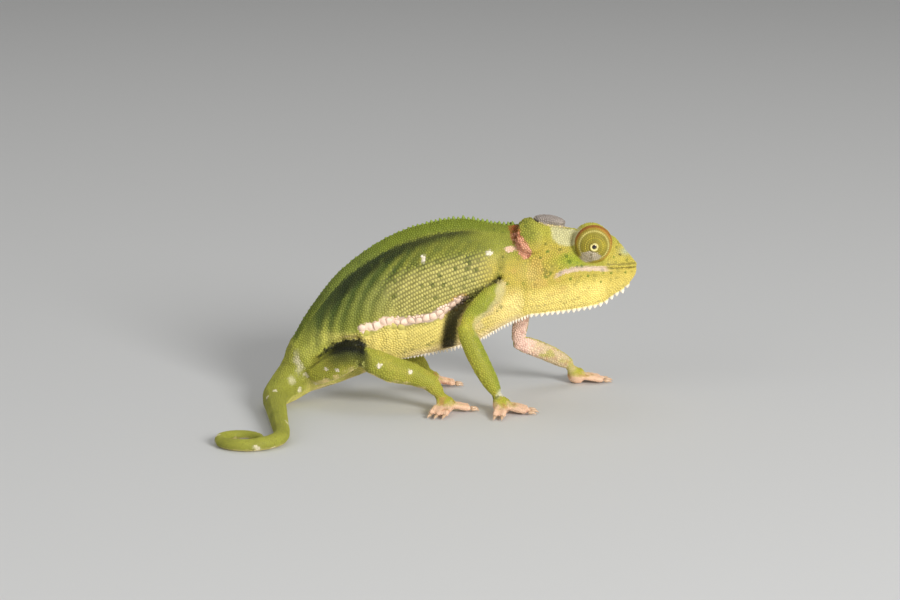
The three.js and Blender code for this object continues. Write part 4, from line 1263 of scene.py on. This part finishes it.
SKIN_SHEEN = 0.3
SKIN_FINISH = skin_finish("bare skin", grain_scale=4200.0, relief=0.6)
SCALE_FINISH = skin_finish("scales", grain_scale=9000.0, relief=0.25)
CREST_FINISH = skin_finish("crest cones", grain_scale=7000.0, relief=0.2)
EYE_FINISH = plain_finish("wet eye", roughness=0.12, coat=1.0)
CLAW_FINISH = plain_finish("claw horn", roughness=0.35, coat=0.2)
skin.data.materials.append(SKIN_FINISH)


# ---- Where the scales stand ----
SKIN_POINTS = mesh_points(skin.data)
SKIN_NORMALS = mesh_normals(skin.data)
SKIN_LABELS = nearest_nodes(SKIN_POINTS)
SKIN_FACES = [tuple(p.vertices) for p in skin.data.polygons]
SURFACE = BVHTree.FromPolygons([tuple(p) for p in SKIN_POINTS], SKIN_FACES)
RNG = np.random.default_rng(7)
REGIONS = (TRUNK_NODES, TAIL_NODES, HEAD_NODES, TOE_NODES, LEG_NODES)
TRUNK, TAIL, HEAD, FOOT, LEG = range(len(REGIONS))
REGION_OF_NODE = np.array([next(k for k, names in enumerate(REGIONS) if node in names)
                           for node in FLESH])
REGION_OF_POINT = REGION_OF_NODE[SKIN_LABELS]
# Flank rows: how far apart, how far apart the scales in a row, how much a row falls for each
# millimetre back, and the rows' numbers, reach behind the nape and share of the half height.
FLANK_ROW = 0.80
FLANK_STEP = 0.56
FLANK_CLIMB = 0.12
FLANK_SIZE = 0.55
FLANK_ROWS = range(-13, 15)
FLANK_REACH = (7.0, 27.0)
FLANK_MIDDLE = 17.0
FLANK_LOWEST, FLANK_HIGHEST = -0.9, 0.52
FLANK_UNEVEN = 0.03
# Side line: size of a plate, and the height, shift along and fullness of each of its rows.
STRIPE_SIZE = 1.45
STRIPE_ROWS = ((0.10, 0.0, 1.0), (-1.05, 0.5, 0.35))
# Rings round the eyes: size of a scale, distance between rings and between scales in a ring.
RING_SIZE = 0.38
RINGS = np.arange(1.0, 3.35, 0.37)
RING_STEP = 0.42
# Loose scales: how full the skin is sown, how far apart they settle and in how many rounds.
SOWN = 1.02
LOOSE_PITCH = 1.08
SETTLING_ROUNDS = 8
SETTLING_PUSH = 0.35
CLEARANCE = 0.5
STRIPE_CLEARANCE = 0.6
OUTSIDE = 30.0


def scale_sizes():
    """How far apart the scales stand at each point of the skin."""
    head = head_frame(SKIN_POINTS)
    run, height = trunk_place(SKIN_POINTS)
    size = np.choose(REGION_OF_POINT, [0.62, 0.5, 0.55, 0.38, 0.48])
    trunk, tail, skull = (REGION_OF_POINT == k for k in (TRUNK, TAIL, HEAD))
    size = np.where(trunk, 0.56 - 0.08 * rise(height, 0.4, 0.95) - 0.1 * fade(run, 4, 10), size)
    down_tail = rise(SKIN_POINTS[:, 2] * -1.0, -8.0, -1.5)
    size = np.where(tail, 0.52 - 0.14 * down_tail, size)
    gap, _ = to_line(head[:, [0, 2]], MOUTH)
    size = np.where(skull, np.minimum(size, 0.36 + 0.14 * rise(gap, 0.4, 2.0)), size)
    for side in SIDES.values():
        away = np.linalg.norm((head - on_side(TURRET_AT, side)) * [1, 0.5, 1], axis=1)
        size = np.where(skull, size - 0.16 * fade(away, 4.2, 5.0), size)
    return Web(skin.data).spread(size, 4)


SIZES = scale_sizes()


def nearest_corner(face, at):
    return min(SKIN_FACES[face], key=lambda v: (Vector(SKIN_POINTS[v]) - at).length_squared)


def settle(point):
    """Nearest place on the skin: the place, its normal and its nearest skin point."""
    at, normal, face, _ = SURFACE.find_nearest(Vector(point))
    return at, normal, nearest_corner(face, at)


def cast(start, direction):
    """The place where a ray meets the skin, with its normal and its nearest skin point, or None."""
    at, normal, face, _ = SURFACE.ray_cast(Vector(start), Vector(direction))
    return None if at is None else (at, normal, nearest_corner(face, at))


def side_hits(x, z, upright=0.0):
    """Where a place seen side on meets the trunk's skin, on both sides."""
    hits = [cast((x, side * OUTSIDE, z), (0, -side, 0)) for side in SIDES.values()]
    return [at for at, normal, corner in filter(None, hits)
            if REGION_OF_POINT[corner] == TRUNK and abs(normal.y) > upright]


def stripe_roots():
    """A row of large plates along the pale side line, with a few more tucked in below it."""
    runs = np.concatenate([[0.0], np.cumsum(np.linalg.norm(np.diff(STRIPE, axis=0), axis=1))])
    roots = []
    for row, shift, share in STRIPE_ROWS:
        for along in np.arange(shift * STRIPE_SIZE, runs[-1], STRIPE_SIZE):
            if RNG.random() > share:
                continue
            x = np.interp(along, runs, STRIPE[:, 0]) + RNG.normal(0, 0.10)
            z = np.interp(along, runs, STRIPE[:, 1]) + row + RNG.normal(0, 0.12)
            roots += side_hits(x, z)
    return roots


def turret_roots():
    """Rings of small scales round each eye."""
    roots = []
    for side in SIDES.values():
        axis = turret_axis(side)
        spin = turn_from_up(axis)
        centre = Vector(on_side(TURRET_AT, side))
        for ring, radius in enumerate(RINGS):
            count = round(2 * math.pi * radius / RING_STEP)
            for k in range(count):
                turned = 2 * math.pi * (k + 0.5 * (ring % 2)) / count
                place = centre + spin @ Vector(
                    (radius * math.cos(turned), radius * math.sin(turned), 8.0))
                start = from_head(place)
                hit = cast(start, (from_head(place - axis) - start).normalized())
                if hit:
                    roots.append(hit[0])
    return roots


def flank_roots():
    """Rows of scales along the flanks, from the shoulder to the hip, on both sides."""
    roots = []
    for row in FLANK_ROWS:
        steps = np.arange(*FLANK_REACH, FLANK_STEP) + (row % 2) * FLANK_STEP / 2
        centre, up, half = trunk_centre(steps + NAPE_RUN)
        for k, step in enumerate(steps):
            offset = row * FLANK_ROW - FLANK_CLIMB * (step - FLANK_MIDDLE)
            if offset > FLANK_HIGHEST * half[k] or offset < FLANK_LOWEST * half[k]:
                continue
            x, z = centre[k] + up[k] * (offset + RNG.normal(0, FLANK_UNEVEN))
            x += RNG.normal(0, FLANK_UNEVEN)
            roots += side_hits(x, z, upright=0.5)
    return roots


def scattered_roots(count):
    """Random places over the skin, denser where the scales are smaller, and how many would fill
    it."""
    halves = [f[:3] for f in SKIN_FACES] + [(f[0], f[2], f[3]) for f in SKIN_FACES if len(f) == 4]
    corners = np.array(halves)
    a, b, c = (SKIN_POINTS[corners[:, k]] for k in range(3))
    area = np.linalg.norm(np.cross(b - a, c - a), axis=1) / 2
    weight = area / SIZES[corners[:, 0]] ** 2
    share = weight / weight.sum()
    chosen = RNG.choice(len(corners), size=count, p=share)
    u, v = RNG.random(count), RNG.random(count)
    flip = u + v > 1
    u, v = np.where(flip, 1 - u, u), np.where(flip, 1 - v, v)
    return a[chosen] + u[:, None] * (b - a)[chosen] + v[:, None] * (c - a)[chosen], float(weight.sum())


def tree_of(points):
    tree = KDTree(len(points))
    for index, point in enumerate(points):
        tree.insert(point, index)
    tree.balance()
    return tree


def is_clear(tree, spacing, point, size):
    """Whether a scale has room beside those already placed; side-line plates keep others further
    off."""
    _, k, away = tree.find(point)
    clearance = STRIPE_CLEARANCE if spacing[k] == STRIPE_SIZE else CLEARANCE
    return away > clearance * (spacing[k] + size)


def all_roots():
    """Every scale's root: place, normal, nearest skin point and spacing."""
    fixed, spacing = [], []
    for roots, size in ((stripe_roots(), STRIPE_SIZE), (turret_roots(), RING_SIZE),
                        (flank_roots(), FLANK_SIZE)):
        if fixed:
            tree = tree_of(fixed)
            roots = [root for root in roots if is_clear(tree, spacing, root, size)]
        fixed += roots
        spacing += [size] * len(roots)
    tree = tree_of(fixed)
    _, total = scattered_roots(10)
    loose, _ = scattered_roots(int(total * SOWN))
    points = [Vector(p) for p in fixed]
    for point in loose:
        at, _, corner = settle(point)
        if is_clear(tree, spacing, Vector(point), SIZES[corner]):
            points.append(at)
    first = len(fixed)
    for _ in range(SETTLING_ROUNDS):
        tree = tree_of(points)
        moved = list(points)
        for index in range(first, len(points)):
            here = points[index]
            want = LOOSE_PITCH * SIZES[settle(here)[2]]
            push = Vector((0, 0, 0))
            for there, other, away in tree.find_n(here, 8):
                if other != index and away < want:
                    push += (here - there) / max(away, 1e-4) * (want - away)
            moved[index] = settle(here + push * SETTLING_PUSH)[0]
        points = moved
    roots = []
    for index, point in enumerate(points):
        at, normal, corner = settle(point)
        size = spacing[index] if index < first else float(SIZES[corner])
        roots.append((at, normal, corner, size))
    return roots


ROOTS = all_roots()
SOLE_HEIGHT = 0.12
MOUTH_GAP = 0.13
BARE_LID = 0.84
INSIDE_TURRET = 3.1
BARE_NOSTRIL = 0.38


def bare_places(points):
    """Where no scale stands: the eye openings, the mouth, the nostrils and under the soles."""
    head = head_frame(points)
    gap, _ = to_line(head[:, [0, 2]], MOUTH)
    bare = points[:, 2] < SOLE_HEIGHT
    bare |= (gap < MOUTH_GAP) & (head[:, 0] > NAPE_X)
    for side in SIDES.values():
        local, out, across = from_turret(head, side)
        bare |= (across < BARE_LID) & (out > 0)
        bare |= np.linalg.norm(local, axis=1) < INSIDE_TURRET
    return bare | (from_nostril(head) < BARE_NOSTRIL)


# ---- Scales ----
BODY_LINE = (1.0, 0.0, 0.25)
SCALE_CORNERS = 8
TOE_SCALE_CORNERS = 6
# Widest a scale grows, as a share of its spacing: to its rim, and to the side of a square plate.
WIDEST = 0.66
PLATE_SIDE = 0.54
FACING = 0.15
PATCH = 0.003


def root_frames(normals):
    """Two directions across each root: one along the body, the other across it."""
    along = np.tile(BODY_LINE, (len(normals), 1))
    first = along - np.einsum("ij,ij->i", along, normals)[:, None] * normals
    first /= np.maximum(np.linalg.norm(first, axis=1), 1e-6)[:, None]
    return first, np.cross(normals, first)


def scale_outlines(corners):
    """Each scale's radius in a number of directions, held back by its neighbours."""
    tree = tree_of([Vector(p) for p in PLACES])
    turns = np.arange(corners) * 2 * math.pi / corners
    plate = PLATE_SIDE / np.maximum(np.abs(np.cos(turns)), np.abs(np.sin(turns)))
    radii = np.empty((len(PLACES), corners))
    for index, place in enumerate(PLACES):
        near = tree.find_n(Vector(place), 10)
        others = np.array([n[1] for n in near if n[1] != index and n[2] > 1e-5])
        away = PLACES[others] - place
        flat = np.column_stack([away @ FIRSTS[index], away @ SECONDS[index]])
        gaps = np.linalg.norm(away, axis=1)
        share = SPACINGS[index] / (SPACINGS[index] + SPACINGS[others])
        bearing = np.arctan2(flat[:, 1], flat[:, 0])
        facing = np.cos(turns[:, None] - bearing[None, :])
        reach = np.where(facing > FACING, gaps * share / np.maximum(facing, FACING), 9.0)
        widest = plate if SPACINGS[index] == STRIPE_SIZE else WIDEST
        radii[index] = np.minimum(reach.min(axis=1), widest * SPACINGS[index])
    return radii


def loop_corners(mesh):
    return read_rows(mesh.loops, "vertex_index", 1, np.int32)[:, 0]


def unwrapped():
    """A flat place for each point of the skin, from an unwrap of the skin's own shape."""
    copy = add_object("unwrap", skin.data.copy())
    bpy.ops.object.select_all(action="DESELECT")
    copy.select_set(True)
    bpy.context.view_layer.objects.active = copy
    bpy.ops.object.mode_set(mode="EDIT")
    bpy.ops.mesh.select_all(action="SELECT")
    bpy.ops.uv.smart_project(angle_limit=math.radians(66), island_margin=0.002)
    bpy.ops.object.mode_set(mode="OBJECT")
    mesh = copy.data
    spots = np.zeros((len(mesh.vertices), 2))
    spots[loop_corners(mesh)] = read_rows(mesh.uv_layers.active.data, "uv", 2)
    bpy.data.objects.remove(copy)
    bpy.data.meshes.remove(mesh)
    return spots


def bake_map(mesh, spots):
    """The map OFBake, from a flat place for each of the mesh's points."""
    layer = mesh.uv_layers.new(name="OFBake")
    flat = np.clip(spots, 0.0, 1.0)[loop_corners(mesh)]
    layer.data.foreach_set("uv", flat.astype(np.float32).ravel())


def scale_faces(corners):
    """The faces of one scale: its sides, its top and its flat base."""
    faces = []
    for k in range(corners):
        ahead = (k + 1) % corners
        faces.append((k, ahead, corners + ahead, corners + k))
        faces.append((corners + k, corners + ahead, 2 * corners))
    return faces + [tuple(range(corners - 1, -1, -1))]


def repeated_mesh(name, verts, faces):
    """One mesh of many like shapes, from the points of each and the faces that all of them have."""
    count, size = verts.shape[:2]
    loops = np.concatenate([np.array(f) for f in faces])
    all_loops = (loops[None, :] + (np.arange(count) * size)[:, None]).ravel()
    lengths = np.tile([len(f) for f in faces], count)
    starts = np.concatenate([[0], np.cumsum(lengths)[:-1]])
    mesh = bpy.data.meshes.new(name)
    mesh.vertices.add(count * size)
    mesh.loops.add(len(all_loops))
    mesh.polygons.add(len(lengths))
    mesh.vertices.foreach_set("co", to_world(verts.reshape(-1, 3)).astype(np.float32).ravel())
    mesh.loops.foreach_set("vertex_index", all_loops.astype(np.int32))
    mesh.polygons.foreach_set("loop_start", starts.astype(np.int32))
    mesh.update(calc_edges=True)
    mesh.validate()
    return mesh


def scales_piece(name, chosen, nodes, corners=SCALE_CORNERS, tall=0.24, gap=0.92,
                 shoulder=(0.80, 0.62), rounded=True):
    """One piece of coat: a closed, domed scale on every chosen root. The shoulder is the ring where
    a scale turns from its side to its top, as shares of its radius and its height."""
    places, normals, sizes, radii, firsts, seconds, owners = (a[chosen] for a in (
        PLACES, NORMALS, SPACINGS, RADII[corners], FIRSTS, SECONDS, OWNERS))
    count = len(places)
    turns = np.arange(corners) * 2 * math.pi / corners
    cos, sin = np.cos(turns), np.sin(turns)
    spoke = firsts[:, None, :] * cos[None, :, None] + seconds[:, None, :] * sin[None, :, None]
    heights = tall * sizes * RNG.uniform(0.9, 1.1, count)
    rows = []
    for share, lift in ((1.0, -0.30), shoulder):
        ring = places[:, None, :] + spoke * (radii * gap * share)[:, :, None]
        rows.append(ring + normals[:, None, :] * (heights * lift)[:, None, None])
    centre = places + (spoke * radii[:, :, None]).mean(axis=1) * 0.5
    tip = centre + normals * heights[:, None]
    verts = np.concatenate([*rows, tip[:, None, :]], axis=1)
    verts[:, :, 2] = np.maximum(verts[:, :, 2], 0.01)
    mesh = repeated_mesh(name, verts, scale_faces(corners))
    if rounded:
        mesh.shade_smooth()
    tone = RNG.uniform(0.93, 1.07, count)
    paint(mesh, np.repeat(SKIN_COLOURS[owners] * tone[:, None], verts.shape[1], axis=0))
    reach = radii.max(axis=1)[:, None]
    flat = np.stack([cos * radii / reach, sin * radii / reach], axis=2) * PATCH / 2
    patch = np.concatenate([flat, flat * shoulder[0], np.zeros((count, 1, 2))], axis=1)
    bake_map(mesh, (patch + UNWRAP[owners][:, None, :]).reshape(-1, 2))
    mesh.materials.append(SCALE_FINISH)
    piece = add_object(name, mesh)
    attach(piece, "root")
    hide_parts(*nodes)


UNWRAP = unwrapped()
PLACES = np.array([root[0] for root in ROOTS])
STANDING = ~bare_places(PLACES)
PLACES, NORMALS, OWNERS, SPACINGS = (np.array([root[k] for root in ROOTS])[STANDING]
                                     for k in range(4))
FIRSTS, SECONDS = root_frames(NORMALS)
RADII = {corners: scale_outlines(corners) for corners in (SCALE_CORNERS, TOE_SCALE_CORNERS)}
REGION = REGION_OF_POINT[OWNERS]
ON_JAW = among(SKIN_LABELS[OWNERS], ["lower_jaw"])
ON_LEFT = PLACES[:, 1] > 0
IN_FRONT = PLACES[:, 0] > 4.0
ON_LINE = SPACINGS == STRIPE_SIZE
scales_piece("scales_side_line", ON_LINE, ["trunk_front", "trunk_rear", "chest"],
             tall=0.08, gap=0.95, shoulder=(0.86, 0.85), rounded=False)
scales_piece("scales_head", (REGION == HEAD) & ~ON_JAW,
             [n for n in HEAD_NODES if n != "lower_jaw"])
scales_piece("scales_throat", (REGION == HEAD) & ON_JAW, ["lower_jaw"], tall=0.17)
for side_name, beside in (("right", ~ON_LEFT), ("left", ON_LEFT)):
    beside = (REGION == TRUNK) & beside & ~ON_LINE
    scales_piece(f"scales_{side_name}_shoulder", beside & IN_FRONT, TRUNK_NODES[:3])
    scales_piece(f"scales_{side_name}_flank", beside & ~IN_FRONT, TRUNK_NODES[2:])
scales_piece("scales_tail", REGION == TAIL, TAIL_NODES)
for limbs, bones in (("arms", ("arm",)), ("legs", ("thigh", "shin"))):
    limb_nodes = [n for n in LEG_NODES if any(bone in n for bone in bones)]
    here = among(SKIN_LABELS[OWNERS], limb_nodes)
    scales_piece(f"scales_{limbs}", (REGION == LEG) & here, limb_nodes)
scales_piece("scales_feet", REGION == FOOT, TOE_NODES, corners=TOE_SCALE_CORNERS)

# ---- Crest cones ----
# One cone from its foot to its tip: radius and height, as shares of its own sizes.
CONE_PROFILE = [(0, -0.35), (0.9, -0.35), (1.0, 0.0), (0.84, 0.3), (0.54, 0.62), (0.22, 0.9),
                (0, 1.0)]
CONE_SPOKES = 10
CONE_BEND = 0.22
BELOW_ALL = 8.0
# Throat cones by their place along the head, and the keel's and the crest's by how far behind
# the nape.
THROAT_CONES = np.arange(45.29, 25.4, -1.06)
KEEL_CONES_FROM, KEEL_CONES_TO = 0.5, 42.0
CREST_CONES = np.arange(1.2, 47.0, 0.80)


def crest_cones(name, stands, tint, nodes):
    """Curved cones, one on each stand: place, outward and rearward directions, height, length,
    thickness."""
    template = spun(CONE_PROFILE, CONE_SPOKES)
    cone = np.array([v.co for v in template.verts])
    template.verts.index_update()
    whole = bmesh.new()
    colours, spots = [], []
    for place, outward, rearward, height, length, thick in stands:
        _, _, corner = settle(place)
        sideways = outward.cross(rearward).normalized()
        back = sideways.cross(outward).normalized()
        bend = CONE_BEND * np.maximum(cone[:, 2], 0.0) ** 2
        made = []
        for point, lean in zip(cone, bend):
            at = place + back * (point[0] * length + lean * length) + sideways * (point[1] * thick)
            made.append(whole.verts.new(Vector(at + outward * (point[2] * height))))
            base = fade(point[2], 0.0, 0.45)
            colours.append(SKIN_COLOURS[corner] * base + tint * (1 - base))
            spots.append(UNWRAP[corner] + point[:2] * PATCH / 2)
        for face in template.faces:
            whole.faces.new([made[v.index] for v in face.verts])
    template.free()
    bmesh.ops.recalc_face_normals(whole, faces=whole.faces)
    into_world(whole)
    piece = object_of(whole, name)
    paint(piece.data, np.array(colours))
    bake_map(piece.data, np.array(spots))
    piece.data.materials.append(CREST_FINISH)
    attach(piece, "root")
    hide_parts(*nodes)


def stand_from(start, direction, rearward, sizes, sink=0.1):
    at, normal, _ = cast(start, direction)
    outward = (normal - 0.6 * Vector(direction)).normalized()
    return (at - outward * sink, outward, Vector(rearward), *sizes)


def ridge_stand(run, turn, sizes):
    """A stand on the crest, or with turn -1 on the keel, a given way behind the nape."""
    centre, up, half = (a[0] for a in trunk_centre(np.array([run + NAPE_RUN])))
    edge = centre + turn * up * half
    start = centre + turn * up * (half + BELOW_ALL)
    lean = -off_middle(np.array([[edge[0], 0.0, edge[1]]]))[0]
    return stand_from((start[0], lean, start[1]), (-turn * up[0], 0.0, -turn * up[1]),
                      (-up[1], 0, up[0]), sizes)


def throat_stands():
    stands = []
    for x in THROAT_CONES:
        start = from_head((x, 0.0, BELOW_ALL))
        towards = (from_head((x, 0.0, BELOW_ALL + 1.0)) - start).normalized()
        tall = 1.0 if x < 45 else 0.75
        sizes = (tall * RNG.uniform(0.9, 1.1), 0.66, 0.44)
        stands.append(stand_from(start, towards, (-1, 0, 0), sizes, sink=0.05))
    run = KEEL_CONES_FROM
    while run < KEEL_CONES_TO:
        sparse = float(rise(run, 9.0, 15.0))
        tall = (0.75 + 0.25 * sparse) * float(fade(run, 14.0, 44.0)) + 0.15
        sizes = (tall * RNG.uniform(0.9, 1.1), 0.34 + 0.12 * sparse, 0.32)
        stands.append(ridge_stand(run, -1, sizes))
        run += 0.64 + 0.32 * sparse
    return stands


def back_stands():
    stands = []
    for run in CREST_CONES:
        tall = 0.34 + 0.46 * float(fade(run, 6.0, 28.0))
        stands.append(ridge_stand(run, 1, (tall * RNG.uniform(0.85, 1.15), 0.42, 0.30)))
    return stands


crest_cones("cones_throat_and_belly", throat_stands(), CONE_WHITE,
            ["lower_jaw"] + TRUNK_NODES)
crest_cones("cones_back", back_stands(), CONE_GREEN, TRUNK_NODES)

# ---- Eyes ----
EYE_RADIUS = 1.22


def eyeball(side_name, side):
    """A wet ball behind the lid, with a dark pupil in a brown iris that looks out along the
    turret."""
    low, high = node_box(side_name + "_eye")
    middle = Vector((low + high) / 2 - HOME)
    axis = (from_head(turret_axis(side)) - from_head((0, 0, 0))).normalized()
    ball = bmesh.new()
    bmesh.ops.create_uvsphere(ball, u_segments=40, v_segments=28, radius=EYE_RADIUS)
    bmesh.ops.rotate(ball, verts=ball.verts, cent=(0, 0, 0), matrix=turn_from_up(axis))
    bmesh.ops.translate(ball, verts=ball.verts, vec=middle)
    out = np.array([(v.co - middle).normalized().dot(axis) for v in ball.verts])
    ring = EYE_RADIUS * np.sqrt(np.maximum(1 - out ** 2, 0.0))
    iris = (rise(ring, 0.33, 0.38) * fade(ring, 0.52, 0.7))[:, None]
    into_world(ball)
    eye = object_of(ball, "eyeball_" + side_name)
    paint(eye.data, PUPIL_BLACK * (1 - iris) + IRIS_BROWN * iris)
    eye.data.materials.append(EYE_FINISH)
    return eye


for side_name, side in SIDES.items():
    eye = eyeball(side_name, side)
    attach(eye, "root")
    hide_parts(side_name + "_eye")

# ---- Claws ----
# From the root inside the toe to the tip: radius and height, as shares of the claw's own sizes.
CLAW_PROFILE = [(0, -0.5), (0.8, -0.45), (1.0, -0.1), (0.92, 0.15), (0.74, 0.4), (0.52, 0.62),
                (0.28, 0.84), (0, 1.0)]
CLAW_SPOKES = 12
CLAW_SLIMNESS = 0.8
CLAW_BOW = 0.16


def all_claws():
    """A curved claw in place of each solid one, with the root and the tip where that has them."""
    whole = bmesh.new()
    for name in CLAWS:
        solid = mesh_points(NODES[name].data)
        middle = solid.mean(axis=0)
        tip = solid[np.argmax(np.linalg.norm(solid - middle, axis=1))]
        from_tip = np.linalg.norm(solid - tip, axis=1)
        base = solid[from_tip > 0.7 * from_tip.max()]
        root = base.mean(axis=0)
        axis = Vector(tip - root)
        length = axis.length
        thick = np.linalg.norm(base - root, axis=1).max()
        turn = turn_from_up(axis)
        claw = spun(CLAW_PROFILE, CLAW_SPOKES)
        for vert in claw.verts:
            x, y, z = vert.co
            bow = CLAW_BOW * length * math.sin(math.pi * min(max(z, 0.0), 1.0))
            vert.co = turn @ Vector(
                (x * thick * CLAW_SLIMNESS, y * thick * CLAW_SLIMNESS, z * length))
            vert.co += Vector(root) + Vector((0, 0, bow))
            vert.co.z = max(vert.co.z, FLOOR_CLEARANCE)
        pour(claw, whole)
    into_world(whole)
    return object_of(whole, "claws")


claws = all_claws()
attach(claws, "root")
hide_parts(*CLAWS)
paint(claws.data, np.tile(HORN, (len(claws.data.vertices), 1)))
claws.data.materials.append(CLAW_FINISH)

# ---- Camera, floor and lights ----
ELEVATION = math.radians(12.0)
AIM = Vector(to_world([10.0, 0.0, 20.6]))
CAMERA_DISTANCE = 0.520
FLOOR_SIZE = 3.0
FLOOR_GREY = (0.66, 0.66, 0.65, 1)
LIT_PLACE = Vector((0, 0, 0.02))
# Lamps: name, width, power and place, in metres and watts.
LAMPS = (("key", 0.35, 9.0, (0.50, -0.75, 0.38)), ("fill", 0.8, 2.0, (-0.7, -0.6, 0.4)),
         ("top", 0.8, 1.2, (0.0, 0.3, 0.9)))
SKY_STRENGTH = 0.3

camera_data = bpy.data.cameras.new("camera")
camera_data.lens = 104.0
camera_data.sensor_width = 36.0
camera_data.clip_start = 0.01
camera_data.clip_end = 20.0
camera = add_object("camera", camera_data)
camera.location = AIM + CAMERA_DISTANCE * Vector((0, -math.cos(ELEVATION), math.sin(ELEVATION)))
camera.rotation_euler = (math.pi / 2 - ELEVATION, 0, 0)
bpy.context.scene.camera = camera

floor_mesh = bmesh.new()
bmesh.ops.create_grid(floor_mesh, x_segments=1, y_segments=1, size=FLOOR_SIZE)
floor = object_of(floor_mesh, "floor", smooth=False)
floor_paint = bpy.data.materials.new("pale floor")
floor_paint.use_nodes = True
floor_shader = floor_paint.node_tree.nodes["Principled BSDF"]
floor_shader.inputs["Base Color"].default_value = FLOOR_GREY
floor_shader.inputs["Roughness"].default_value = 0.7
floor.data.materials.append(floor_paint)

for lamp_name, width, power, place in LAMPS:
    lamp_data = bpy.data.lights.new(lamp_name, "AREA")
    lamp_data.shape = "DISK"
    lamp_data.size = width
    lamp_data.energy = power
    lamp = add_object(lamp_name, lamp_data)
    lamp.location = place
    lamp.rotation_euler = (LIT_PLACE - Vector(place)).to_track_quat("-Z", "Y").to_euler()
world = bpy.data.worlds.new("studio")
bpy.context.scene.world = world
world.use_nodes = True
sky = world.node_tree.nodes["Background"]
sky.inputs["Color"].default_value = (1, 1, 1, 1)
sky.inputs["Strength"].default_value = SKY_STRENGTH
bpy.context.scene.view_settings.view_transform = "Standard"
